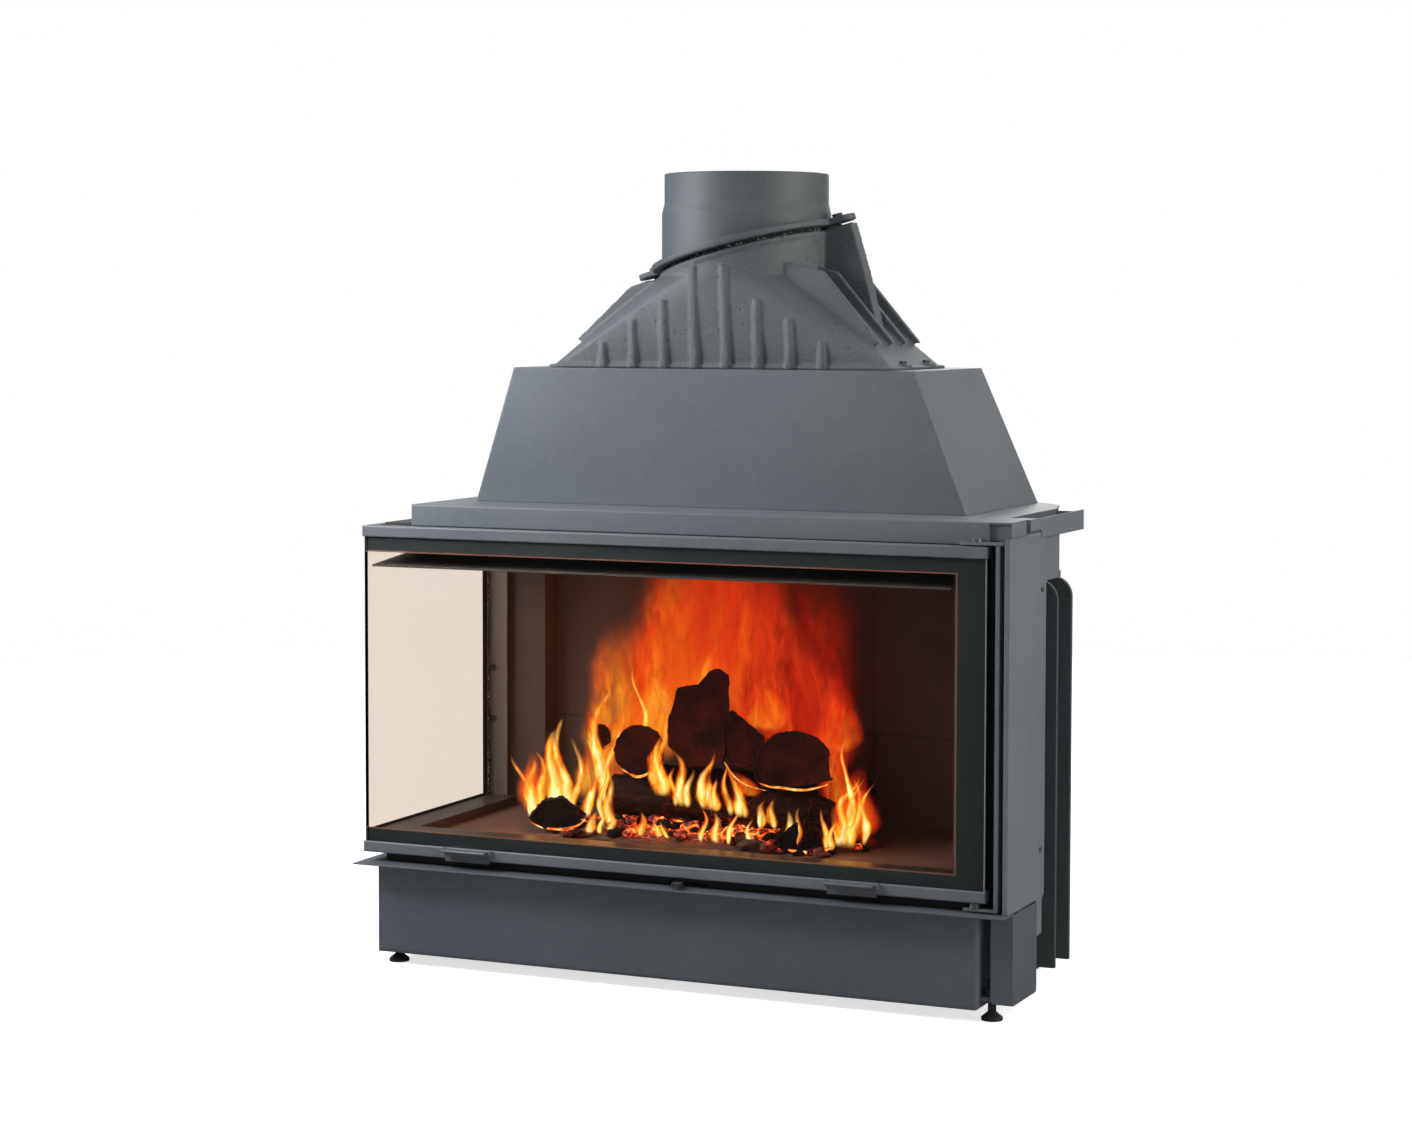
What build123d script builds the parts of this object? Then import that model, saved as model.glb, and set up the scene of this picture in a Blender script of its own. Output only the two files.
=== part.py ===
"""Corner fireplace insert with an L-shaped glass door, a steel smoke hood and a cast flue outlet.

Lengths are in millimetres. While it is drawn, X runs right from the door's left end, Y runs back
from the door's front face and Z runs up from the floor. At the end the whole insert is moved so
that the origin is the middle of its footprint.
"""
from build123d import *
import math
import os

# Door
door_width = 1000
door_height = 500
door_bottom = 172
side_wing = 391
rail_height = 17
rail_depth = 18
rail_edge_round = 2
glass_thickness = 4
glass_inset = 3
glass_grip = 9
glass_play = 0.5
stile_from_end = 45
stile_width = 35

# Door hinge
pin_from_end = 18
pin_radius = 4
running_clearance = 0.05
pin_depth = 6
pin_head_radius = 7
pin_head_height = 5
hinge_plate_thickness = 4
hinge_plate_gap = 2
hinge_plate_reach = 23
hinge_plate_overhang = 5.5
hinge_bar_thickness = 6.5
hinge_bar_gap = 12
bush_radius = 8

# Door catches
catch_length = 75
catch_from_end = 144
barrel_radius = 2.5
catch_thickness = 2
catch_drop = 17
catch_stand_off = 0.5
lip_reach = 17
lip_bead_radius = 1.8
catch_pin_radius = 1.5
lug_width = 4
lug_depth = 6
lug_height = 8
lug_gap = 0.4

# Frame that the door closes on
frame_face = 26
frame_thickness = 4
frame_lap = 36
seal_width = 11
seal_clearance = 0.3
post_seal_thickness = 3
post_seal_width = 7
jamb_from_end = 56
jamb_lap = 22
jamb_set_back = 42
jamb_depth = 114
trim_over_door = 1

# Outer casing
side_overhang = 34
sheet = 2
top_sheet = 3
top_gap = 33
box_left = 76
box_right_gap = 4
box_front = 18
casing_back = 482
side_panel_front = -4
side_panel_back = 163
side_panel_above_door = 11
side_tab_back = 153
side_tab_drop = 51
side_fold_width = 5
screw_from_back = 20
screw_from_top = 80
screw_from_bottom = 71
screw_head_radius = 4
screw_head_height = 2
upper_side_inset = 7
upper_side_back = 240
upper_side_drop = 93
gutter_start = 124
gutter_end = 343
gutter_width = 44
gutter_depth = 29
gutter_tab_front = 89
gutter_tab_back = 140
gutter_tab_drop = 17
relief_slot = 3
top_corner_side = 12
top_corner_side_y = 433
top_corner_rear = 61
top_corner_rear_margin = 2

# Smoke hood
hood_wall = 3
hood_height = 207
hood_base_left = 125
hood_base_from_end = 75
hood_base_front = 132
hood_base_back = 466
hood_top_left = 200
hood_top_from_end = 150
hood_top_front = 114
hood_top_back = 415
hood_front_bend = 4
hood_rear_bend = 8
mitre_beyond_bolt = 8

# Cast dome
dome_wall = 7
dome_end_gap = 46
dome_front = 140
dome_back = 370
dome_corner = 14
dome_slope_height = 139
dome_rest_width = 8
dome_foot_lip = 4
dome_foot_thickness = 5
neck_corner_angle = 48
rib_row_offset = -7
rib_foot_width = 13
rib_tip_width = 8
rib_foot_relief = 8
rib_tip_relief = 4.5
rib_pitch = 51
rib_heights = (38, 72, 101, 152)
side_fin_width = 9
side_fin_pitch = 55
side_fins = 4
right_fin_outline = ((252, 38), (164, 141), (161, 145), (114, 156))
left_fin_outline = ((-246, 41), (-158, 120), (-154, 123), (-126, 132))
boss_width = 26
right_boss_outline = ((219, 63), (198, 144), (173, 228))
left_boss_outline = ((-186, 88), (-173, 188))
foot_bolt_from_dome_end = 6
foot_bolt_spread = 100
foot_boss_height = 9
foot_boss_reach = 10
foot_boss_width = 24
foot_bolt_radius = 3
foot_bolt_head = 5.8
foot_bolt_head_height = 4
bolt_hole_clearance = 0.3

# Flue collar on its sloping joint
flue_off_hood_middle = 1
flue_y = 255
joint_height = 418
joint_slope = 14.7
collar_top = 533
flue_outer_radius = 124.75
flue_spigot_length = 45
collar_taper_length = 15
collar_radius = 128.5
collar_bore_radius = 118
flange_radius = 146.4
flange_thickness = 9
joint_gap = 5
rope_radius = 2.4
neck_radius = 131
neck_rim_radius = 134
neck_rim_thickness = 7
ear_length = 366
ear_width = 34
ear_bolt_inset = 27
ear_bolt_radius = 4
ear_bolt_depth = 12
ear_bolt_head_height = 5.5

# Base
base_left = 20
base_from_end = 13
base_front = 10
base_clearance = 17
base_return = 60
base_lip = 12
base_bend = 7
plate_thickness = 2
plate_below_door = 16
plate_left = -4
plate_overhang = 2
plate_front = -24
post_beyond_door = 2
post_front = 20
post_back = 125
post_clearance = 27
post_corner = 6

# Levelling feet
front_foot_left = 41
front_foot_from_end = 3
front_foot_left_y = 38
front_foot_right_y = 44
rear_foot_left = 62
rear_foot_from_end = 85
rear_foot_inset = 42
pad_radius = 15.5
pad_height = 12
pad_rim = 4
stem_radius = 6
stem_length = 46
bracket_thickness = 6
bracket_size = 40
bracket_height = 30
nut_radius = 11
nut_height = 8

# Firebox
hearth_above_door_foot = 18
rim_thickness = 14
rim_gap = 2.5
rim_front_width = 63
rim_left_width = 49
floor_thickness = 4
shutter_play = 0.2
lining_thickness = 25
lining_seam_rise = 162
lining_below_door_top = 32
lining_gap = 1
lining_wall_gap = 5
back_columns = 3
side_columns = 2
frame_post_left = 2
post_width = 39
post_bolt_inset = 14
post_bolt_rises = (157.6, 241.8)
post_bolt_radius = 5.5
post_bolt_height = 3
left_block_front = 410
left_block_width = 74
wall_thickness = 6
bend_y = 390
bend_from_side = 65
smoke_hole_inset = 25

# Cast fins
fin_thickness = 8
fin_plate_front = 190
fin_plate_back = 384
fin_bottom = 42
fin_below_door_top = 62
fin_round = 30
side_fin_y = (219, 287)
rear_fin_depth = 32
rear_fin_count = 9
rear_fin_pitch = 86
rear_fin_bottom = 100
rear_fin_below_door_top = 12
rear_fin_round = 25

# Air wash and baffle
deflector_thickness = 3
deflector_left = 12
deflector_front = 12
deflector_lip_drop = 63
deflector_back = 141
deflector_rise = 13
baffle_thickness = 25
baffle_end_gap = 53
baffle_front = 215
baffle_length = 225
baffle_height = 20
baffle_slope = 8
baffle_rail_width = 42
baffle_play = 0.3

# Combustion air
shutter_width = 170
shutter_front = 40
shutter_back = 100
shutter_thickness = 3
shutter_travel = 25
air_slot_count = 3
air_slot_width = 24
air_slot_pitch = 50
air_slot_length = 40
air_channel_margin = 6
lever_from_middle = 34
lever_width = 8
lever_reach = 20
lever_clearance = 2
knob_width = 14
knob_depth = 14
knob_height = 7
knob_round = 2
air_box_width = 200
air_box_front = 35
air_box_length = 290
air_box_drop = 40
air_box_flange = 12
spigot_from_middle = 30
spigot_y = 250
spigot_radius = 62
spigot_wall = 2
spigot_length = 60

# Heights and places that follow from the sizes above
door_top = door_bottom + door_height
top_height = door_top + top_gap
middle_x = door_width / 2
side_plane = door_width + side_overhang
jamb_left = door_width - jamb_from_end
stile_left = door_width - stile_from_end
plate_height = door_bottom - plate_below_door
plate_top = plate_height + plate_thickness
lintel_top = door_top + frame_thickness
trim_low = door_top + trim_over_door
pin_x = door_width - pin_from_end
pin_y = rail_depth / 2
glass_front = glass_inset
glass_back = glass_inset + glass_thickness
glass_low = door_bottom + rail_height - glass_grip
glass_high = door_top - rail_height + glass_grip
frame_back = frame_face + frame_thickness
post_face = side_wing + seal_clearance + post_seal_thickness
post_right = frame_post_left + post_width
bar_left = door_width + hinge_bar_gap
box_right = door_width - box_right_gap
hood_base_right = door_width - hood_base_from_end
hood_top_right = door_width - hood_top_from_end
hood_low = top_height
hood_high = top_height + hood_height
under_top = top_height - top_sheet
flue_x = (hood_top_left + hood_top_right) / 2 + flue_off_hood_middle
dome_half_length = (hood_top_right - hood_top_left) / 2 - dome_end_gap
dome_left = flue_x - dome_half_length
dome_right = flue_x + dome_half_length
foot_bolt_x = dome_half_length - foot_bolt_from_dome_end
hood_mitre = dome_end_gap + foot_bolt_from_dome_end + mitre_beyond_bolt
rib_middle_x = flue_x + rib_row_offset
joint_z = door_top + joint_height
collar_high = door_top + collar_top
right_wall_x = jamb_left + lining_thickness + lining_wall_gap
body_right = right_wall_x + wall_thickness
bend_x = body_right - bend_from_side
wall_inside = casing_back - wall_thickness
jamb_face_back = jamb_set_back + frame_thickness
floor_low = plate_top + shutter_thickness + 2 * shutter_play
floor_high = floor_low + floor_thickness
upper_side_x = side_plane - upper_side_inset
side_inside = side_plane - sheet
web_x = side_inside - 3
gutter_left = side_plane - gutter_width
gutter_low = top_height - gutter_depth
left_wall_back = frame_post_left + frame_thickness
plate_right = side_plane + plate_overhang
post_left = door_width + post_beyond_door
base_right = door_width - base_from_end
front_foot_right = door_width - front_foot_from_end
rear_foot_right = door_width - rear_foot_from_end
hearth_height = door_bottom + hearth_above_door_foot
rim_height = hearth_height + rim_thickness
lining_seam_height = door_bottom + lining_seam_rise
lining_top = door_top - lining_below_door_top
fin_top = door_top - fin_below_door_top
rear_fin_top = door_top - rear_fin_below_door_top
deflector_lip_height = door_top - deflector_lip_drop
baffle_left = hood_base_left + baffle_end_gap
baffle_right = hood_base_right - baffle_end_gap
lever_x = middle_x + lever_from_middle
spigot_x = middle_x + spigot_from_middle
air_slots_y = ((shutter_front + shutter_back - air_slot_length) / 2,
               (shutter_front + shutter_back + air_slot_length) / 2)


def block(x, y, z):
    """A box between two values along each axis."""
    size = Box(x[1] - x[0], y[1] - y[0], z[1] - z[0], align=(Align.MIN, Align.MIN, Align.MIN))
    return Pos(x[0], y[0], z[0]) * size


def upright_disc(x, y, low, high, radius):
    """A round bar along Z between two heights."""
    bar = Cylinder(radius, high - low, align=(Align.CENTER, Align.CENTER, Align.MIN))
    return Pos(x, y, low) * bar


def level_rod(left, right, y, z, radius):
    """A round bar along X between two places."""
    rod = Cylinder(radius, right - left, align=(Align.CENTER, Align.CENTER, Align.MIN))
    return Pos(left, y, z) * Rot(0, 90, 0) * rod


def plan_plate(points, low, high):
    """A plate with the given outline, seen from above, between two heights."""
    face = make_face(Polyline(*points, close=True))
    return Pos(0, 0, low) * extrude(face, high - low)


def side_plate(points, left, right):
    """A plate with an outline of (y, z) points, seen from the side, between two X values."""
    face = Plane.YZ * make_face(Polyline(*points, close=True))
    return Pos(left, 0, 0) * extrude(face, right - left)


def front_plate(points, front, back):
    """A plate with an outline of (x, z) points, seen from the front, between two Y values."""
    face = Plane.XZ * make_face(Polyline(*points, close=True))
    return Pos(0, back, 0) * extrude(face, back - front)


def hexagon_bar(low, high, radius):
    """A hexagonal nut or head on the Z axis, with the radius to its corners and flats to X."""
    outline = RegularPolygon(radius, 6, rotation=30)
    return Pos(0, 0, low) * extrude(outline, high - low)


def bend_points(inset):
    """The two bends of the body's cut-off rear right corner, moved inwards by an inset."""
    across = body_right - bend_x
    along = casing_back - bend_y
    normal_x = along / math.hypot(across, along)
    normal_y = across / math.hypot(across, along)
    start = (body_right - inset, bend_y - inset * (1 - normal_x) / normal_y)
    end = (bend_x - inset * (1 - normal_y) / normal_x, casing_back - inset)
    return start, end


def bend_x_at(y, inset):
    """Where the line between the two bends crosses a given Y."""
    start, end = bend_points(inset)
    return start[0] + (y - start[1]) * (end[0] - start[0]) / (end[1] - start[1])


def beyond_bends(inset, low, high):
    """Everything outside the line between the two bends, to be cut away."""
    past = casing_back + wall_thickness
    outline = [
        (body_right + past, bend_points(inset)[0][1]),
        (bend_x_at(0, inset), 0),
        (bend_x_at(past, inset), past),
        (body_right + past, past),
    ]
    return plan_plate(outline, low, high)


# Door: two long rails, two short ones, a stile and two panes

def front_rail(low, glass_end, pin_side):
    """A long rail with the slots that hold both panes and the blind bore for its hinge pin."""
    high = low + rail_height
    play = glass_play / 2
    rail = block((0, door_width), (0, rail_depth), (low, high))
    long_edges = rail.edges().filter_by(Axis.X).group_by(Axis.Y)[0]
    left_edges = rail.edges().filter_by(Axis.Y).group_by(Axis.X)[0]
    corner = rail.edges().filter_by(Axis.Z).group_by(Axis.X)[0].sort_by(Axis.Y)[0]
    rail = fillet([*long_edges, *left_edges, corner], rail_edge_round)
    slot_z = (glass_end - play, high) if pin_side < 0 else (low, glass_end + play)
    front_slot_x = (glass_inset - play, door_width - glass_inset + play)
    rail -= block(front_slot_x, (glass_front - play, glass_back + play), slot_z)
    rail -= block((glass_inset - play, glass_back + play), (glass_front, rail_depth), slot_z)
    bore_depth = pin_depth + glass_play
    bore_z = (low, low + bore_depth) if pin_side < 0 else (high - bore_depth, high)
    return rail - upright_disc(pin_x, pin_y, bore_z[0], bore_z[1], pin_radius + running_clearance)


def side_rail(low, glass_end, pin_side):
    """The short rail along the side wing, butted against the back of the long one."""
    high = low + rail_height
    play = glass_play / 2
    slot_z = (glass_end - play, high) if pin_side < 0 else (low, glass_end + play)
    rail = block((0, rail_depth), (rail_depth, side_wing), (low, high))
    rail = fillet(rail.edges().filter_by(Axis.Y).group_by(Axis.X)[0], rail_edge_round)
    return rail - block((glass_inset - play, glass_back + play), (rail_depth, side_wing), slot_z)


def door_bottom_rail():
    """The lower long rail, with two small lugs at each catch that carry its pins."""
    rail = front_rail(door_bottom, glass_low, -1)
    for left in catch_places:
        for lug_left in (left - lug_gap - lug_width, left + catch_length + lug_gap):
            lug_x = (lug_left, lug_left + lug_width)
            lug = block(lug_x, (-lug_depth, 0), (lug_low, lug_low + lug_height))
            lug -= level_rod(lug_left, lug_left + lug_width, barrel_y, barrel_z,
                             catch_pin_radius + running_clearance)
            rail += lug
    return rail


def front_glass():
    return block((glass_back, door_width - glass_inset), (glass_front, glass_back), (glass_low, glass_high))


def side_glass():
    return block((glass_inset, glass_back), (glass_front, side_wing), (glass_low, glass_high))


def door_right_stile():
    """The upright strip behind the printed right edge of the glass, between the long rails."""
    z = (door_bottom + rail_height, door_top - rail_height)
    return block((stile_left, stile_left + stile_width), (glass_back, rail_depth), z)


# Catches on the bottom rail

barrel_y = -catch_stand_off - barrel_radius
barrel_z = door_bottom + rail_height - barrel_radius - 1
lug_low = door_bottom + rail_height - lug_height
catch_places = (catch_from_end, door_width - catch_from_end - catch_length - 17)


def catch(left):
    """A bent flap: a rolled barrel on pins, a plate down the rail and a finger lip with a bead."""
    right = left + catch_length
    pin_reach = lug_gap + lug_width
    flap = level_rod(left, right, barrel_y, barrel_z, barrel_radius)
    flap += level_rod(left - pin_reach, right + pin_reach, barrel_y, barrel_z, catch_pin_radius)
    plate_back = -catch_stand_off
    plate_z = (barrel_z - catch_drop, barrel_z)
    flap += block((left, right), (plate_back - catch_thickness, plate_back), plate_z)
    lip_end = barrel_y - lip_reach
    lip_high = barrel_z + barrel_radius
    bead_y = lip_end + lip_bead_radius
    flap += block((left, right), (bead_y, barrel_y), (lip_high - catch_thickness, lip_high))
    flap += level_rod(left, right, bead_y, lip_high - lip_bead_radius, lip_bead_radius)
    return flap


# Hinge

def hinge_frame():
    """The C-shaped hinge frame: an upright bar with a plate above and below the door."""
    top_low = door_top + hinge_plate_gap
    top_high = top_low + hinge_plate_thickness
    low = plate_top + hinge_plate_gap
    bar_x = (bar_left, bar_left + hinge_bar_thickness)
    plate_left_end = pin_x - hinge_plate_reach
    plate_y = (0, rail_depth - glass_play)
    frame = block(bar_x, (hinge_plate_gap, jamb_set_back), (low, top_high))
    frame += block((plate_left_end, bar_x[1] + hinge_plate_overhang), plate_y, (top_low, top_high))
    frame += block((plate_left_end + bush_radius, bar_left), (hinge_plate_gap, plate_y[1]),
                   (low, low + hinge_plate_thickness))
    return frame - upright_disc(pin_x, pin_y, low, top_high, pin_radius + running_clearance)


def hinge_pins():
    """The two pins, headed over the plates, with the bush that carries the door's weight."""
    top_high = door_top + hinge_plate_gap + hinge_plate_thickness
    upper = upright_disc(pin_x, pin_y, door_top - pin_depth, top_high, pin_radius)
    upper += upright_disc(pin_x, pin_y, top_high, top_high + pin_head_height, pin_head_radius)
    low = plate_top + hinge_plate_gap
    lower = upright_disc(pin_x, pin_y, low, door_bottom + pin_depth, pin_radius)
    lower += upright_disc(pin_x, pin_y, low + hinge_plate_thickness, door_bottom - seal_clearance, bush_radius)
    return [upper, lower]


# Frame behind the door

def lintel_front():
    """Folded strip above the front opening, with a ledge under the trim box."""
    low = door_top - frame_lap
    strip = block((frame_face, jamb_left), (frame_face, frame_back), (low, lintel_top))
    ledge = block((box_left, jamb_left), (box_front + sheet, frame_face), (lintel_top - sheet, lintel_top))
    return strip + ledge


def lintel_left():
    """Folded strip above the side opening, closed over to the casing."""
    low = door_top - frame_lap
    strip = block((frame_face, frame_back), (frame_back, post_face), (low, lintel_top))
    ledge = block((frame_back, box_left), (frame_back, post_face), (lintel_top - sheet, lintel_top))
    return strip + ledge


def sill_front():
    """Folded strip below the front opening, slotted for the air lever."""
    strip = block((frame_face, jamb_left), (frame_face, frame_back), (plate_top, hearth_height))
    half = lever_width / 2 + shutter_travel + lever_clearance
    return strip - block((lever_x - half, lever_x + half), (frame_face, frame_back), (plate_top, floor_low))


def sill_left():
    return block((frame_face, frame_back), (frame_back, post_face), (plate_top, hearth_height))


def right_jamb():
    """Folded upright on the hinge side: sealing lap, face and the web behind the side panel."""
    low = plate_top
    split_z = top_height - upper_side_drop
    jamb = block((jamb_left, jamb_left + jamb_lap), (frame_face, frame_back), (low, lintel_top))
    jamb += block((jamb_left, jamb_left + frame_thickness), (frame_back, jamb_set_back), (low, lintel_top))
    face_y = (jamb_set_back, jamb_face_back)
    jamb += block((jamb_left, side_inside), face_y, (low, split_z))
    jamb += block((jamb_left, upper_side_x), face_y, (split_z, under_top))
    web_y = (jamb_face_back, jamb_face_back + jamb_depth)
    jamb += block((web_x, side_inside), web_y, (low, gutter_low))
    return jamb


def left_rear_post():
    """Folded post at the rear end of the side opening, with the wall behind it."""
    face_y = (post_face, post_face + frame_thickness)
    post = block((frame_post_left, post_right), face_y, (plate_top, lintel_top))
    post += block((frame_post_left, left_wall_back), (post_face, casing_back), (plate_top, lintel_top))
    post += block((frame_post_left, box_left), (post_face, casing_back), (lintel_top - sheet, lintel_top))
    return post


def post_bolts():
    """Two round-headed bolts on the face of the rear post."""
    bolts = []
    for rise in post_bolt_rises:
        head = Cylinder(post_bolt_radius, post_bolt_height, align=(Align.CENTER, Align.CENTER, Align.MIN))
        place = Pos(frame_post_left + post_bolt_inset, post_face, door_bottom + rise)
        bolts.append(place * Rot(90, 0, 0) * head)
    return bolts


def door_seals():
    """Flat rope seals on the frame, a hair clear of the closed door."""
    gap = (rail_depth + seal_clearance, frame_face)
    edge = (rail_height - seal_width) / 2
    low_z = (door_bottom + edge, door_bottom + edge + seal_width)
    high_z = (door_top - edge - seal_width, door_top - edge)
    seal_right = jamb_left + jamb_lap
    seals = []
    for z in (low_z, high_z):
        seals.append(block((gap[0], seal_right), gap, z))
        seals.append(block(gap, (frame_face, side_wing), z))
    seals.append(block((seal_right - seal_width, seal_right), gap, (low_z[1], high_z[0])))
    post_x = (frame_post_left, frame_post_left + post_seal_width)
    seals.append(block(post_x, (side_wing + seal_clearance, post_face), (door_bottom, door_top)))
    return seals


# Outer casing

def top_front_panel():
    """The shallow trim box above the door: its face and the square return at each end."""
    face = block((box_left, box_right), (box_front, box_front + sheet), (trim_low, top_height))
    top_edge = face.edges().filter_by(Axis.X).group_by(Axis.Y)[0].sort_by(Axis.Z)[-1]
    left_edge = face.edges().filter_by(Axis.Z).group_by(Axis.X)[0].sort_by(Axis.Y)[0]
    face = fillet([top_edge, left_edge], sheet * 0.9)
    return_y = (box_front + sheet, frame_back)
    panel = face + block((box_left, box_left + sheet), return_y, (lintel_top, under_top))
    return panel + block((box_right - sheet, box_right), return_y, (lintel_top, under_top))


def top_plate():
    """The top of the casing, open under the hood, with a lip down the left side."""
    outline = [
        (box_left, box_front + sheet),
        (upper_side_x, box_front + sheet),
        (upper_side_x, gutter_tab_front),
        (side_inside, gutter_tab_front),
        (side_inside, gutter_start),
        (gutter_left + sheet, gutter_start),
        (gutter_left + sheet, gutter_end),
        (body_right - top_corner_side, top_corner_side_y),
        (body_right - top_corner_rear, casing_back - top_corner_rear_margin),
        (body_right - top_corner_rear, casing_back),
        (box_left, casing_back),
    ]
    plate = plan_plate(outline, under_top, top_height)
    hole_x = (hood_base_left + smoke_hole_inset, hood_base_right - smoke_hole_inset)
    hole_y = (hood_base_front + smoke_hole_inset, hood_base_back - smoke_hole_inset)
    plate -= block(hole_x, hole_y, (under_top, top_height))
    return plate + block((box_left, box_left + sheet), (frame_back, casing_back), (lintel_top, under_top))


def right_upper_casing():
    """The folded sheet round the casing's upper right corner."""
    low = top_height - upper_side_drop
    front_y = box_front + sheet + frame_thickness
    side_x = (upper_side_x, upper_side_x + sheet)
    slot_y = gutter_tab_front - relief_slot
    side = block(side_x, (front_y, slot_y), (low, top_height))
    side += block(side_x, (slot_y, upper_side_back), (low, gutter_low))
    corner = side.edges().filter_by(Axis.Z).sort_by(Axis.Y)[0:2].sort_by(Axis.X)[-1]
    side = fillet(corner, sheet * 0.9)
    front_low = door_top + hinge_plate_gap + hinge_plate_thickness + glass_play
    front = block((box_right, side_x[0]), (front_y, front_y + sheet), (front_low, under_top))
    return side + front


def right_gutter():
    """The open channel along the top right edge, with a tall outer lip that starts as a short tab."""
    y = (gutter_start, gutter_end)
    gutter = block((gutter_left, gutter_left + sheet), y, (gutter_low, under_top))
    gutter += block((gutter_left, side_inside), y, (gutter_low, gutter_low + sheet))
    rear_y = (gutter_end - sheet, gutter_end)
    gutter += block((gutter_left, side_inside), rear_y, (gutter_low, under_top))
    tab_low = top_height - gutter_tab_drop
    lip_outline = [
        (gutter_tab_front, tab_low),
        (gutter_tab_back, tab_low),
        (gutter_tab_back, gutter_low),
        (gutter_end, gutter_low),
        (gutter_end, top_height),
        (gutter_tab_front, top_height),
    ]
    return gutter + side_plate(lip_outline, side_inside, side_plane)


def right_side_panel():
    """The plain side sheet, stepped at its rear lower corner, with a folded front edge."""
    high = door_top + side_panel_above_door
    low = plate_top
    tab_low = low - side_tab_drop
    outline = [
        (side_panel_front, low),
        (side_panel_front, high),
        (gutter_tab_back - relief_slot, high),
        (gutter_tab_back - relief_slot, gutter_low),
        (side_panel_back, gutter_low),
        (side_panel_back, low + 4),
        (side_tab_back, low - 1),
        (side_tab_back, tab_low),
        (post_back, tab_low - 3),
        (post_back, low),
    ]
    panel = side_plate(outline, side_inside, side_plane)
    fold_x = (side_inside - side_fold_width, side_inside)
    return panel + block(fold_x, (side_panel_front, side_panel_front + sheet), (low, high))


def side_panel_screws():
    """Two round-headed screws near the side panel's rear edge."""
    screws = []
    for z in (door_top + side_panel_above_door - screw_from_top, plate_top + screw_from_bottom):
        screws.append(level_rod(side_plane, side_plane + screw_head_height,
                                side_panel_back - screw_from_back, z, screw_head_radius))
    return screws


# Hood: four folded sheets with mitred ends, each with a slanted face and a rim for the dome

hood_corners = {
    "front_left": ((hood_base_left, hood_base_front), (hood_top_left, hood_top_front)),
    "front_right": ((hood_base_right, hood_base_front), (hood_top_right, hood_top_front)),
    "rear_right": ((hood_base_right, hood_base_back), (hood_top_right, hood_top_back)),
    "rear_left": ((hood_base_left, hood_base_back), (hood_top_left, hood_top_back)),
}
hood_sides = {
    "front": ("front_left", "front_right"),
    "right": ("front_right", "rear_right"),
    "rear": ("rear_right", "rear_left"),
    "left": ("rear_left", "front_left"),
}


def inward(name):
    """The signs of X and Y that point from a corner of the hood into it."""
    return (1 if "left" in name else -1, 1 if "front" in name else -1)


def hood_form(inset, high):
    """The hood's form, moved in from all four sides, as one solid up to a given height."""
    foot = []
    head = []
    part_way = (high - hood_low) / hood_height
    for name, (base, top) in hood_corners.items():
        to_x, to_y = inward(name)
        x = base[0] + (top[0] - base[0]) * part_way + to_x * inset
        y = base[1] + (top[1] - base[1]) * part_way + to_y * inset
        foot.append((base[0] + to_x * inset, base[1] + to_y * inset, hood_low))
        head.append((x, y, high))
    return closed_box(foot, head)


def closed_box(foot, head):
    """A solid with flat faces between two outlines of four points."""
    faces = [make_face(Polyline(*foot, close=True)), make_face(Polyline(*head, close=True))]
    for here in range(4):
        there = (here + 1) % 4
        faces.append(make_face(Polyline(foot[here], foot[there], head[there], head[here], close=True)))
    solid = Solid(Shell(faces))
    return solid if solid.volume > 0 else Solid(Shell([-face for face in faces]))


def hood_shell():
    """The whole hood as one bent sheet, with its rim open under the dome."""
    outer = hood_form(0, hood_high)
    slanted = [edge for edge in outer.edges() if edge.bounding_box().size.Z > hood_height / 2]
    front = sorted(slanted, key=lambda edge: edge.center().Y)[:2]
    outer = fillet(front, hood_front_bend)
    slanted = [edge for edge in outer.edges() if edge.bounding_box().size.Z > hood_height / 2]
    rear = sorted(slanted, key=lambda edge: edge.center().Y)[-2:]
    outer = fillet(rear, hood_rear_bend)
    return outer


def hood_panel(side):
    """One side of the hood, cut from the whole at its two mitres."""
    start, end = hood_sides[side]
    outer_quad = []
    inner_quad = []
    for name, level in ((start, 0), (end, 0), (end, 1), (start, 1)):
        x, y = hood_corners[name][level]
        to_x, to_y = inward(name)
        z = hood_high if level else hood_low
        outer_quad.append((x, y, z))
        inner_quad.append((x + to_x * hood_mitre, y + to_y * hood_mitre, z))
    panel = whole_hood & closed_box(outer_quad, inner_quad)
    for x, y in foot_bolt_places:
        panel -= upright_disc(x, y, hood_high - hood_wall, hood_high, foot_bolt_radius + bolt_hole_clearance)
    return panel


# Dome and flue collar

joint_plane = Plane(
    origin=(flue_x, flue_y, joint_z),
    x_dir=(math.cos(math.radians(joint_slope)), 0, math.sin(math.radians(joint_slope))),
    z_dir=(-math.sin(math.radians(joint_slope)), 0, math.cos(math.radians(joint_slope))))
dome_top_plane = joint_plane.offset(-joint_gap)
ear_bolt_reach = ear_length / 2 - ear_bolt_inset
foot_bolt_places = [
    (flue_x + side * foot_bolt_x, flue_y + row * foot_bolt_spread / 2)
    for side in (-1, 1) for row in (-1, 1)
]


def joint_disc(offset, thickness, radius):
    """A disc square to the sloping joint, starting at an offset above it."""
    disc = Cylinder(radius, thickness, align=(Align.CENTER, Align.CENTER, Align.MIN))
    return joint_plane * Pos(0, 0, offset) * disc


def flue_bore():
    return upright_disc(flue_x, flue_y, hood_high, collar_high, collar_bore_radius)


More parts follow.
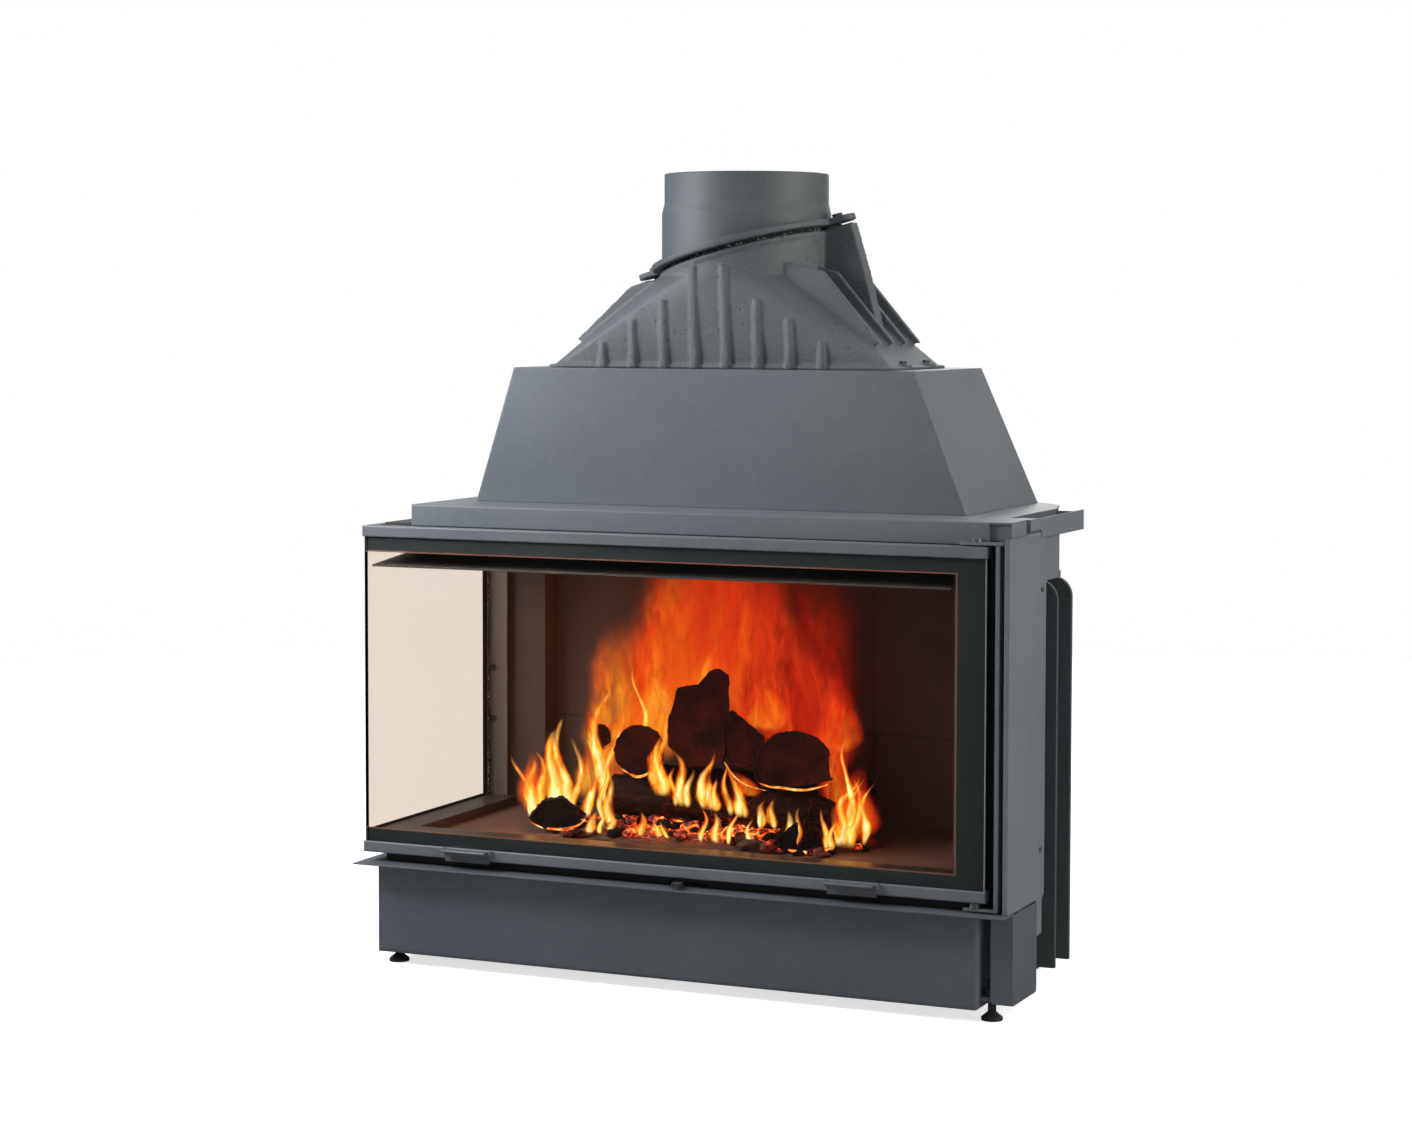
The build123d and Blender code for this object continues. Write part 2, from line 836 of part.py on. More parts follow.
def flue_collar():
    """The cast collar: a pipe spigot on a sloping flange with two ears."""
    spigot_low = collar_high - flue_spigot_length
    taper_low = spigot_low - collar_taper_length
    body = upright_disc(flue_x, flue_y, hood_high, taper_low, collar_radius)
    taper = Cone(collar_radius, flue_outer_radius, collar_taper_length,
                 align=(Align.CENTER, Align.CENTER, Align.MIN))
    body += Pos(flue_x, flue_y, taper_low) * taper
    body += upright_disc(flue_x, flue_y, spigot_low, collar_high, flue_outer_radius)
    body = split(body, bisect_by=joint_plane, keep=Keep.TOP)
    body += joint_disc(0, flange_thickness, flange_radius)
    body += joint_plane * extrude(SlotOverall(ear_length, ear_width), flange_thickness)
    for side in (-1, 1):
        hole = Cylinder(ear_bolt_radius + bolt_hole_clearance, 4 * flange_thickness)
        body -= joint_plane * Pos(side * ear_bolt_reach, 0, 0) * hole
    return body - flue_bore()


def flue_seal_rope():
    """The ring of sealing rope squeezed between the dome's rim and the collar's flange."""
    ring = Torus((neck_radius - dome_wall + neck_rim_radius) / 2, rope_radius)
    return joint_plane * Pos(0, 0, -joint_gap / 2) * ring


def collar_bolts():
    """A hexagon-headed bolt through each ear into the boss below it."""
    bolts = []
    for side in (-1, 1):
        low = -joint_gap - ear_bolt_depth
        bolt = upright_disc(0, 0, low, flange_thickness, ear_bolt_radius)
        bolt += hexagon_bar(flange_thickness, flange_thickness + ear_bolt_head_height, 2 * ear_bolt_radius)
        bolts.append(joint_plane * Pos(side * ear_bolt_reach, 0, 0) * bolt)
    return bolts


def dome_form(inset):
    """The square-to-round form between the dome's foot and its neck, and the neck above it."""
    left, right = dome_left + inset, dome_right - inset
    front, back = dome_front + inset, dome_back - inset
    radius = neck_radius - inset
    neck_low = hood_high + dome_slope_height
    half_corner = neck_corner_angle / 2
    quarter = 90
    foot_plane = Plane(origin=(0, 0, hood_high))
    neck_plane = Plane(origin=(flue_x, flue_y, neck_low))
    corners = [(right, back), (left, back), (left, front), (right, front)]
    foot_arcs = []
    for index, (x, y) in enumerate(corners):
        middle_x = x + (dome_corner if x == left else -dome_corner)
        middle_y = y + (dome_corner if y == front else -dome_corner)
        foot_arcs.append(foot_plane * CenterArc((middle_x, middle_y), dome_corner, quarter * index, quarter))
    foot_wire = []
    neck_wire = []
    for index in range(4):
        following = (index + 1) % 4
        corner_start = quarter / 2 + quarter * index - half_corner
        foot_wire.append(foot_arcs[index])
        foot_wire.append(Line(foot_arcs[index] @ 1, foot_arcs[following] @ 0))
        neck_wire.append(neck_plane * CenterArc((0, 0), radius, corner_start, neck_corner_angle))
        neck_wire.append(neck_plane * CenterArc((0, 0), radius, corner_start + neck_corner_angle,
                                                quarter - neck_corner_angle))
    slope = loft([make_face(foot_wire), make_face(neck_wire)], ruled=True)
    return slope + upright_disc(flue_x, flue_y, neck_low, collar_high, radius)


def surface_hit(form, start, direction):
    """Where a line from outside first meets the form."""
    hits = form.find_intersection_points(Axis(start, direction))
    return min((point for point, _ in hits), key=lambda point: (point - Vector(*start)).length)


def dome_rib(form, x, height, sign):
    """A tapered upright rib on the front (sign -1) or the back (sign 1) of the dome."""
    far = flue_y + sign * flange_radius * 3
    low = hood_high + dome_foot_thickness
    foot = surface_hit(form, (x, far, low), (0, -sign, 0)).Y
    head = surface_hit(form, (x, far, hood_high + height), (0, -sign, 0)).Y
    outline = [
        (foot + sign * rib_foot_relief, hood_high),
        (head + sign * rib_tip_relief, hood_high + height),
        (head - sign * dome_wall, hood_high + height),
        (foot - sign * dome_wall, hood_high),
    ]
    rib = side_plate(outline, x - rib_foot_width / 2, x + rib_foot_width / 2)
    taper = [
        (x - rib_foot_width / 2, hood_high),
        (x + rib_foot_width / 2, hood_high),
        (x + rib_tip_width / 2, hood_high + height),
        (x - rib_tip_width / 2, hood_high + height),
    ]
    return rib & front_plate(taper, min(foot, head) - flange_radius, max(foot, head) + flange_radius)


def side_web(outline, y, width):
    """An upright web from the dome's middle out to an outline measured from the flue and the hood's top."""
    closed = list(outline) + [(0, outline[-1][1]), (0, outline[0][1])]
    closed = [(flue_x + x, hood_high + rise) for x, rise in closed]
    return front_plate(closed, y - width / 2, y + width / 2)


def smoke_dome():
    """The cast dome with its foot, ribs, fins and bosses, hollow for the smoke."""
    form = dome_form(0)
    dome = form
    for index, height in enumerate(rib_heights + rib_heights[::-1]):
        x = rib_middle_x + (index - (2 * len(rib_heights) - 1) / 2) * rib_pitch
        dome += dome_rib(form, x, height, -1)
        dome += dome_rib(form, x, height, 1)
    for index in range(side_fins):
        y = flue_y + (index - (side_fins - 1) / 2) * side_fin_pitch
        dome += side_web(right_fin_outline, y, side_fin_width)
        dome += side_web(left_fin_outline, y, side_fin_width)
    dome += side_web(right_boss_outline, flue_y, boss_width)
    dome += side_web(left_boss_outline, flue_y, boss_width)
    lip = dome_foot_lip
    foot_length = dome_right - dome_left + 2 * lip
    foot_depth = dome_back - dome_front + 2 * lip
    foot = RectangleRounded(foot_length, foot_depth, dome_corner + lip)
    middle = ((dome_left + dome_right) / 2, (dome_front + dome_back) / 2, hood_high)
    dome += Pos(*middle) * extrude(foot, dome_foot_thickness)
    dome = split(dome, bisect_by=dome_top_plane, keep=Keep.BOTTOM)
    dome += joint_disc(-joint_gap - neck_rim_thickness, neck_rim_thickness, neck_rim_radius)
    dome -= dome_form(dome_wall)
    return with_bolt_seats(dome)


def with_bolt_seats(dome):
    """The dome with the seats of its foot bolts and the threaded holes of its ear bosses."""
    for x, y in foot_bolt_places:
        outside = dome_right + dome_foot_lip if x > flue_x else dome_left - dome_foot_lip
        inside = x - foot_boss_reach if x > flue_x else x + foot_boss_reach
        boss_x = (min(inside, outside), max(inside, outside))
        boss_y = (y - foot_boss_width / 2, y + foot_boss_width / 2)
        dome += block(boss_x, boss_y, (hood_high, hood_high + foot_boss_height))
        pocket = foot_bolt_head + 1
        seat = hood_high + foot_boss_height
        dome -= upright_disc(x, y, seat, seat + 3 * foot_boss_height, pocket)
        dome -= upright_disc(x, y, hood_high, seat, foot_bolt_radius + bolt_hole_clearance)
    for side in (-1, 1):
        hole = Cylinder(ear_bolt_radius + running_clearance, ear_bolt_depth + joint_gap,
                        align=(Align.CENTER, Align.CENTER, Align.MIN))
        dome -= joint_plane * Pos(side * ear_bolt_reach, 0, -joint_gap - ear_bolt_depth) * hole
    return dome


def dome_bolts():
    """Four hexagon-headed bolts through the dome's foot and the hood's rim."""
    seat = hood_high + foot_boss_height
    bolts = []
    for x, y in foot_bolt_places:
        head = Pos(x, y, 0) * hexagon_bar(seat, seat + foot_bolt_head_height, foot_bolt_head)
        bolts.append(head + upright_disc(x, y, hood_high - hood_wall, seat, foot_bolt_radius))
    return bolts


# Base

def air_slots(low, high):
    """The row of air slots in the base plate, the shutter and the firebox floor."""
    slots = []
    for index in range(air_slot_count):
        x = lever_x + (index - (air_slot_count - 1) / 2) * air_slot_pitch
        slots.append(block((x - air_slot_width / 2, x + air_slot_width / 2), air_slots_y, (low, high)))
    return slots


def base_plate():
    """The base's top plate, which stands out under the door as a thin ledge."""
    first_bend, second_bend = bend_points(0)
    outline = [
        (plate_left, plate_front),
        (plate_right, plate_front),
        (plate_right, post_front),
        (side_inside, post_front),
        (side_inside, side_panel_back),
        (body_right, side_panel_back),
        first_bend,
        second_bend,
        (plate_left, casing_back),
    ]
    plate = plan_plate(outline, plate_height, plate_top)
    for slot in air_slots(plate_height, plate_top):
        plate -= slot
    return plate


def pressed_corner(tray, radius):
    """A block with its front and right lower edges and its front right upright edge rounded alike."""
    lower = tray.edges().group_by(Axis.Z)[0]
    front = lower.filter_by(Axis.X).sort_by(Axis.Y)[0]
    right = lower.filter_by(Axis.Y).sort_by(Axis.X)[-1]
    upright = tray.edges().filter_by(Axis.Z).group_by(Axis.Y)[0].sort_by(Axis.X)[-1]
    return fillet([front, right, upright], radius)


def base_front_panel():
    """The base's pressed front: a face and a deep return with round bends, and a lip turned in below."""
    x = (base_left, base_right)
    y = (base_front, base_front + base_return)
    z = (base_clearance, plate_height)
    panel = pressed_corner(block(x, y, z), base_bend)
    inside = block((x[0], x[1] - sheet), (y[0] + sheet, y[1]), (z[0] + sheet, z[1]))
    panel -= pressed_corner(inside, base_bend - sheet)
    panel -= block((x[0], x[1] - base_lip), (y[0] + base_lip, y[1]), (z[0], z[0] + base_lip))
    panel -= block((x[0], x[0] + sheet), (y[0] + sheet, y[1]), (z[0], z[0] + base_lip))
    corner = panel.edges().filter_by(Axis.Z).group_by(Axis.X)[0].sort_by(Axis.Y)[0]
    return fillet(corner, sheet * 0.9)


def base_left_panel():
    z = (base_clearance, plate_height)
    face = block((base_left, base_left + sheet), (base_front + sheet, casing_back), z)
    lip_x = (base_left, base_left + base_lip)
    lip = block(lip_x, (base_front + base_lip, casing_back), (z[0], z[0] + sheet))
    return face + lip


def base_rear_panel():
    """One sheet folded round the right side, the cut-off corner and the back of the base."""
    front = base_front + base_return
    left = base_left + sheet
    outer = [(body_right, front), *bend_points(0), (left, casing_back)]
    inner = [(left, casing_back - sheet), *bend_points(sheet)[::-1], (body_right - sheet, front)]
    return plan_plate(outer + inner, base_clearance + sheet, plate_height)


def base_corner_post():
    """The folded post that closes the base's right front corner."""
    z = (post_clearance, plate_height)
    face = block((post_left, plate_right), (post_front, post_front + sheet), z)
    side = block((plate_right - sheet, plate_right), (post_front, post_back), z)
    face = fillet(face.edges().filter_by(Axis.Y).group_by(Axis.Z)[0].sort_by(Axis.X)[0], post_corner)
    side = fillet(side.edges().filter_by(Axis.X).group_by(Axis.Z)[0].sort_by(Axis.Y)[-1], post_corner)
    post = face + side
    corner = post.edges().filter_by(Axis.Z).sort_by(Axis.Y)[0:2].sort_by(Axis.X)[-1]
    return fillet(corner, sheet * 0.9)


# Levelling feet

foot_places = {
    "front_left": (front_foot_left, front_foot_left_y),
    "front_right": (front_foot_right, front_foot_right_y),
    "rear_left": (rear_foot_left, casing_back - rear_foot_inset),
    "rear_right": (rear_foot_right, casing_back - rear_foot_inset),
}


def levelling_foot(x, y):
    """A threaded stem on a round pad with a coned top."""
    cone = Cone(pad_radius, stem_radius, pad_height - pad_rim, align=(Align.CENTER, Align.CENTER, Align.MIN))
    foot = upright_disc(x, y, 0, pad_rim, pad_radius) + Pos(x, y, pad_rim) * cone
    return foot + upright_disc(x, y, pad_height, pad_height + stem_length, stem_radius)


def foot_brackets():
    """A strong plate with a welded nut over each foot, fixed to the base's sheets."""
    half = bracket_size / 2
    high = bracket_height + bracket_thickness
    inside_left = base_left + sheet
    rear_y = (casing_back - rear_foot_inset - half, casing_back - sheet)
    reaches = {
        "front_left": ((inside_left, front_foot_left + half), (base_front + sheet, front_foot_left_y + half)),
        "front_right": ((base_right, plate_right - sheet), (post_front + sheet, front_foot_right_y + half)),
        "rear_left": ((inside_left, rear_foot_left + half), rear_y),
        "rear_right": ((rear_foot_right - half, rear_foot_right + half), rear_y),
    }
    brackets = []
    for name, (x, y) in foot_places.items():
        bracket = block(*reaches[name], (bracket_height, high))
        bracket += Pos(x, y, 0) * hexagon_bar(high, high + nut_height, nut_radius)
        bracket -= upright_disc(x, y, bracket_height, high + nut_height, stem_radius + running_clearance)
        brackets.append(bracket - beyond_bends(sheet, bracket_height, high))
    return brackets


# Firebox

def firebox_floor():
    """The steel floor, notched round the jamb and the post, with the air slots."""
    first_bend, second_bend = bend_points(wall_thickness)
    outline = [
        (frame_back, frame_back),
        (jamb_left, frame_back),
        (jamb_left, jamb_face_back),
        (right_wall_x, jamb_face_back),
        first_bend,
        second_bend,
        (frame_back, wall_inside),
    ]
    floor = plan_plate(outline, floor_low, floor_high)
    floor -= block((frame_back, post_right), (post_face, post_face + frame_thickness), (floor_low, floor_high))
    for slot in air_slots(floor_low, floor_high):
        floor -= slot
    return floor


def firebox_back_wall():
    """The flat back wall, lower at the left end under the post's cover."""
    z = (plate_top, under_top)
    wall = block((left_wall_back, body_right), (wall_inside, casing_back), z)
    under_cover = (lintel_top - sheet, under_top)
    wall -= block((left_wall_back, box_left + sheet), (wall_inside, casing_back), under_cover)
    return wall - beyond_bends(0, z[0], z[1])


def firebox_right_wall():
    """The right wall, bent across the cut-off rear corner to meet the back wall."""
    outer_bend, _ = bend_points(0)
    inner_bend, inner_end = bend_points(wall_thickness)
    outline = [
        (body_right, jamb_face_back),
        outer_bend,
        (bend_x_at(wall_inside, 0), wall_inside),
        inner_end,
        inner_bend,
        (right_wall_x, jamb_face_back),
    ]
    return plan_plate(outline, plate_top, under_top)


def hearth_floor():
    """The refractory slab that the fire lies on, notched round the post and over the air slots."""
    z = (floor_high, hearth_height)
    slab = block((frame_back, jamb_left), (frame_back, left_block_front), z)
    slab += block((frame_back + left_block_width, jamb_left), (left_block_front, wall_inside), z)
    slab -= block((frame_back, post_right), (post_face, post_face + frame_thickness), z)
    half = ((air_slot_count - 1) * air_slot_pitch + air_slot_width) / 2 + air_channel_margin
    slab -= block((lever_x - half, lever_x + half), (shutter_front, air_slots_y[1]), z)
    return slab - beyond_bends(wall_thickness, z[0], z[1])


def hearth_rim():
    """The cast rim round the front and left of the hearth."""
    start = glass_back + rim_gap
    z = (hearth_height, rim_height)
    front = block((start, jamb_left), (start, start + rim_front_width), z)
    return front + block((start, start + rim_left_width), (start + rim_front_width, post_face), z)


def back_lining():
    """Two rows of refractory slabs against the back wall."""
    left = frame_back + left_block_width
    width = (jamb_left - left) / back_columns
    y = (wall_inside - lining_thickness, wall_inside)
    rows = ((hearth_height, lining_seam_height), (lining_seam_height + lining_gap, lining_top))
    slabs = []
    for row in rows:
        for column in range(back_columns):
            x = left + column * width
            slab = block((x, x + width - lining_gap), y, row)
            slabs.append(slab - beyond_bends(wall_thickness, row[0], row[1]))
    return slabs


def right_lining():
    """Two rows of refractory slabs against the right wall."""
    length = (wall_inside - jamb_face_back) / side_columns
    rows = ((floor_high, lining_seam_height), (lining_seam_height + lining_gap, lining_top))
    slabs = []
    for row in rows:
        for column in range(side_columns):
            y = jamb_face_back + column * length
            slab = block((jamb_left, right_wall_x), (y, y + length - lining_gap), row)
            slabs.append(slab - beyond_bends(wall_thickness, row[0], row[1]))
    return slabs


def left_lining():
    """The refractory block behind the rear post."""
    return block((frame_back, frame_back + left_block_width - lining_gap),
                 (left_block_front, wall_inside), (floor_high, lining_top))


def air_deflector():
    """The folded blade under the lintel that sweeps air down the glass."""
    thick = deflector_thickness
    knee = deflector_lip_height + deflector_rise
    outline = [
        (deflector_front, deflector_lip_height),
        (deflector_back, knee),
        (deflector_back, under_top),
        (deflector_back - thick, under_top),
        (deflector_back - thick, knee + thick),
        (deflector_front, deflector_lip_height + thick),
    ]
    blade = side_plate(outline, deflector_left, jamb_left)
    over_ledge = block((0, box_left + sheet), (0, casing_back), (lintel_top - sheet, top_height))
    lintel_z = (door_top - frame_lap, top_height)
    left_lintel_space = block((0, frame_back), (frame_back, casing_back), lintel_z)
    return blade - over_ledge - left_lintel_space


def baffle_plate():
    """The sloping refractory baffle, which rests on two rails in the hood's foot."""
    slab = Box(baffle_right - baffle_left, baffle_length, baffle_thickness,
               align=(Align.MIN, Align.MIN, Align.MIN))
    drop = math.sin(math.radians(baffle_slope)) * baffle_length
    return Pos(baffle_left, baffle_front, top_height + baffle_height + drop) * Rot(-baffle_slope, 0, 0) * slab


def baffle_rails():
    """Two sloping rails on the edges of the smoke hole, under the baffle's ends."""
    slope = math.radians(baffle_slope)
    run = math.cos(slope) * baffle_length
    low = top_height + baffle_height - baffle_play
    outline = [
        (baffle_front, under_top),
        (baffle_front, low + math.tan(slope) * run),
        (baffle_front + run, low),
        (baffle_front + run, under_top),
    ]
    left = hood_base_left + smoke_hole_inset
    right = hood_base_right - smoke_hole_inset
    return [side_plate(outline, left, left + baffle_rail_width),
            side_plate(outline, right - baffle_rail_width, right)]


# Fins

def finned_plate_side():
    """The cast heat-exchanger plate on the right wall with its two tall fins."""
    face = body_right + wall_thickness
    fins = block((body_right, face), (fin_plate_front, fin_plate_back), (fin_bottom, fin_top))
    for y in side_fin_y:
        fin_y = (y - fin_thickness / 2, y + fin_thickness / 2)
        fin = block((face, side_plane), fin_y, (fin_bottom, fin_top))
        top_corner = fin.edges().filter_by(Axis.Y).sort_by(Axis.Z)[-2:].sort_by(Axis.X)[-1]
        fins += fillet(top_corner, fin_round)
    return fins


def finned_plate_rear():
    """The cast plate on the back wall with a row of upright fins."""
    middle = (left_wall_back + body_right) / 2
    half = (rear_fin_count - 1) / 2 * rear_fin_pitch + fin_thickness
    face = casing_back + wall_thickness
    z = (rear_fin_bottom, rear_fin_top)
    plate = block((middle - half, middle + half), (casing_back, face), z)
    for index in range(rear_fin_count):
        x = middle + (index - (rear_fin_count - 1) / 2) * rear_fin_pitch
        fin = block((x - fin_thickness / 2, x + fin_thickness / 2), (face, face + rear_fin_depth), z)
        top_corner = fin.edges().filter_by(Axis.X).sort_by(Axis.Z)[-2:].sort_by(Axis.Y)[-1]
        plate += fillet(top_corner, rear_fin_round)
    return plate


# Combustion air

def air_shutter():
    """The slotted slide with its lever, which opens and shuts the air slots below it."""
    low = plate_top + shutter_play
    z = (low, low + shutter_thickness)
    half = shutter_width / 2
    slide = block((lever_x - half, lever_x + half), (shutter_front, shutter_back), z)
    for slot in air_slots(z[0], z[1]):
        slide -= slot
    lever_sides = (lever_x - lever_width / 2, lever_x + lever_width / 2)
    return slide + block(lever_sides, (-lever_reach, shutter_front), z)


def air_knob():
    """The small moulded knob on the end of the lever."""
    low = plate_top + shutter_play + shutter_thickness
    knob = block((lever_x - knob_width / 2, lever_x + knob_width / 2),
                 (-lever_reach, -lever_reach + knob_depth), (low, low + knob_height))
    return fillet(knob.edges().filter_by(Axis.Z), knob_round)


def air_inlet_box():
    """The air box under the base plate, with the round spigot for an outside-air duct."""
    low = plate_height - air_box_drop
    x = (lever_x - air_box_width / 2, lever_x + air_box_width / 2)
    y = (air_box_front, air_box_front + air_box_length)
    box = block(x, y, (low, plate_height))
    flange_x = (x[0] - air_box_flange, x[1] + air_box_flange)
    flange_y = (y[0] - air_box_flange, y[1] + air_box_flange)
    box += block(flange_x, flange_y, (plate_height - sheet, plate_height))
    box += upright_disc(spigot_x, spigot_y, low - spigot_length, low, spigot_radius)
    box -= block((x[0] + sheet, x[1] - sheet), (y[0] + sheet, y[1] - sheet), (low + sheet, plate_height))
    return box - upright_disc(spigot_x, spigot_y, low - spigot_length, low + sheet, spigot_radius - spigot_wall)


opening_inset = dome_wall + dome_rest_width
rim_opening = block((dome_left + opening_inset, dome_right - opening_inset),
                    (dome_front + opening_inset, dome_back - opening_inset),
                    (hood_high - hood_wall, hood_high))
whole_hood = hood_shell() - hood_form(hood_wall, hood_high - hood_wall) - rim_opening

pieces = {
    "flue_collar": flue_collar(),
    "flue_seal_rope": flue_seal_rope(),
    "collar_bolts": collar_bolts(),
    "smoke_dome": smoke_dome(),
    "dome_bolts": dome_bolts(),
    "hood_front_panel": hood_panel("front"),
    "hood_rear_panel": hood_panel("rear"),
    "hood_left_panel": hood_panel("left"),
    "hood_right_panel": hood_panel("right"),
    "top_plate": top_plate(),
    "top_front_panel": top_front_panel(),
    "right_gutter": right_gutter(),
    "right_upper_casing": right_upper_casing(),
    "right_side_panel": right_side_panel(),
    "side_panel_screws": side_panel_screws(),
    "lintel_front": lintel_front(),
    "lintel_left": lintel_left(),
    "right_jamb": right_jamb(),
    "sill_front": sill_front(),
    "sill_left": sill_left(),
    "left_rear_post": left_rear_post(),
    "post_bolts": post_bolts(),
    "firebox_floor": firebox_floor(),
    "firebox_back_wall": firebox_back_wall(),
    "firebox_right_wall": firebox_right_wall(),
    "side_fin_plate": finned_plate_side(),
    "rear_fin_plate": finned_plate_rear(),
    "back_lining": back_lining(),
    "right_lining": right_lining(),
    "left_lining": left_lining(),
    "hearth_rim": hearth_rim(),
    "hearth_floor": hearth_floor(),
    "air_deflector": air_deflector(),
    "baffle_plate": baffle_plate(),
    "baffle_rails": baffle_rails(),
    "base_plate": base_plate(),
    "base_front_panel": base_front_panel(),
    "base_left_panel": base_left_panel(),
    "base_rear_panel": base_rear_panel(),
    "base_corner_post": base_corner_post(),
    "foot_brackets": foot_brackets(),
    "hinge_frame": hinge_frame(),
    "hinge_pins": hinge_pins(),
    "door_seals": door_seals(),
    "air_inlet_box": air_inlet_box(),
    "door_top_rail": front_rail(door_top - rail_height, glass_high, 1),
    "door_top_side_rail": side_rail(door_top - rail_height, glass_high, 1),
    "door_bottom_rail": door_bottom_rail(),
    "door_bottom_side_rail": side_rail(door_bottom, glass_low, -1),
    "front_glass": front_glass(),
    "side_glass": side_glass(),
    "door_right_stile": door_right_stile(),
    "left_catch": catch(catch_places[0]),
    "right_catch": catch(catch_places[1]),
    "air_shutter": air_shutter(),
    "air_knob": air_knob(),
}
for name, (x, y) in foot_places.items():
    pieces["foot_" + name] = levelling_foot(x, y)


def solids_of(piece):
    """All the solids of a piece, whether it is one shape or a list of them."""
    shapes = piece if isinstance(piece, list) else [piece]
    return [solid for shape in shapes for solid in shape.solids()]


everything = Compound(children=[solid for piece in pieces.values() for solid in solids_of(piece)])
extent = everything.bounding_box()
to_origin = Pos(-(extent.min.X + extent.max.X) / 2, -(extent.min.Y + extent.max.Y) / 2, -extent.min.Z)

os.makedirs("parts", exist_ok=True)
for name, piece in pieces.items():
    moved = [to_origin * solid for solid in solids_of(piece)]
    export_step(Compound(children=moved), f"parts/{name}.step")

offset = to_origin.position
print(f"moved by {offset.X:.3f} {offset.Y:.3f} {offset.Z:.3f}")
print(f"size {extent.size.X:.2f} {extent.size.Y:.2f} {extent.size.Z:.2f}")
print(f"{len(pieces)} pieces")
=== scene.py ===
"""Looks of a corner fireplace insert with a burning wood fire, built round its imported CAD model.

Lengths are written in millimetres as the drawing has them: X runs right from the door's left end,
Y back from the door's front face and Z up from the floor. spot() turns them into the frame.
"""
import math
import random

import bmesh
import bpy
from mathutils import Matrix, Vector, noise


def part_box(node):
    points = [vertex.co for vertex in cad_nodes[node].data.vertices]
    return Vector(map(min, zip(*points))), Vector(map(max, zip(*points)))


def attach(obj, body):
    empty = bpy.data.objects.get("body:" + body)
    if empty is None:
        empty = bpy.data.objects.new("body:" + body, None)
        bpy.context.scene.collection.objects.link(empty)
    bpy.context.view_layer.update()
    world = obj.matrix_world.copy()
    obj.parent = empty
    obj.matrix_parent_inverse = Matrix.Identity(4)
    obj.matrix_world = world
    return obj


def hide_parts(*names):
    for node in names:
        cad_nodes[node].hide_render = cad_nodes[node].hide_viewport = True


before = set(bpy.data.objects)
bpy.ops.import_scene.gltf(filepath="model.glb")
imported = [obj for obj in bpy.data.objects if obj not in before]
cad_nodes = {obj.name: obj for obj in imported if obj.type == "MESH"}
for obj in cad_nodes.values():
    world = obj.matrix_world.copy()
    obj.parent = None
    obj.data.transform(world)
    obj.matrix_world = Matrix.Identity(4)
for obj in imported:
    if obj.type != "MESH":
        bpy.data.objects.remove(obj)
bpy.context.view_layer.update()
MM = 0.001


# Camera
# One long lens to the right of the door's normal, at the height of the dome and tipped a little down.

MIDDLE_X = 516
MIDDLE_Y = 248


def spot(x, y, z):
    """A point of the drawing, in the frame's metres."""
    return Vector(((x - MIDDLE_X) * MM, (y - MIDDLE_Y) * MM, z * MM))


camera_data = bpy.data.cameras.new("camera")
camera_data.sensor_width = 36
camera_data.lens = 77.22
camera_data.shift_y = -0.0602
camera_data.clip_end = 60
camera = bpy.data.objects.new("camera", camera_data)
bpy.context.scene.collection.objects.link(camera)
heading, tilt, roll = (math.radians(angle) for angle in (24.072, 90 - 3.241, 0.098))
turn = Matrix.Rotation(heading, 4, "Z") @ Matrix.Rotation(tilt, 4, "X")
camera.matrix_world = Matrix.Translation(spot(2351.1, -3980.1, 998)) @ turn @ Matrix.Rotation(roll, 4, "Z")
bpy.context.scene.camera = camera
bpy.context.scene.view_settings.view_transform = "Standard"


# Studio
# A white room with a pale floor and five soft lamps, the nearest of them at the front left.
# Rays that have glanced off something see it dim near the floor, so that the panes stay clear.

WHITE = (1, 1, 1, 1)
AFTER_GLANCE = 0.5


def node(tree, kind, inputs=None, **settings):
    """Adds one shader node. An input is a value or the socket that feeds it."""
    made = tree.nodes.new("ShaderNode" + kind)
    for name, value in settings.items():
        setattr(made, name, value)
    for name, value in (inputs or {}).items():
        if isinstance(value, bpy.types.NodeSocket):
            tree.links.new(value, made.inputs[name])
        else:
            made.inputs[name].default_value = value
    return made


def maths(tree, operation, *values, clamp=False):
    """What a Math node makes of its values."""
    return node(tree, "Math", dict(enumerate(values)), operation=operation, use_clamp=clamp).outputs[0]


def remap(tree, value, low, high, to_low=0.0, to_high=1.0, **settings):
    """A value carried over from the range low to high to another range."""
    return node(tree, "MapRange", {"Value": value, "From Min": low, "From Max": high, "To Min": to_low,
                                   "To Max": to_high}, **settings).outputs[0]


def either(tree, share, first, second):
    """One shader where share is 0 and the other where it is 1."""
    return node(tree, "MixShader", {0: share, 1: first.outputs[0], 2: second.outputs[0]})


def empty_material(name):
    """A material with nothing but its output, and that output."""
    material = bpy.data.materials.new(name)
    material.use_nodes = True
    material.node_tree.nodes.clear()
    return material, material.node_tree, node(material.node_tree, "OutputMaterial")


world = bpy.data.worlds.new("white_room")
world.use_nodes = True
bpy.context.scene.world = world
sky = world.node_tree
sky.nodes.clear()
rays = node(sky, "LightPath").outputs
glanced = maths(sky, "GREATER_THAN", rays["Glossy Depth"], AFTER_GLANCE)
straight = maths(sky, "MAXIMUM", rays["Is Camera Ray"], rays["Is Transmission Ray"])
seen = maths(sky, "SUBTRACT", straight, glanced, clamp=True)
direction = node(sky, "SeparateXYZ", {0: node(sky, "TexCoord").outputs["Generated"]})
reflected = remap(sky, direction.outputs["Z"], 0.02, 0.4, 0.05, 0.5)
plain = node(sky, "Background", {"Color": (0.95, 0.97, 0.98, 1), "Strength": 0.24})
white = node(sky, "Background", {"Color": WHITE, "Strength": 1.0})
mirrored = node(sky, "Background", {"Color": WHITE, "Strength": reflected})
unseen = either(sky, glanced, plain, mirrored)
shown = either(sky, seen, unseen, white)
node(sky, "OutputWorld", {"Surface": shown.outputs[0]})

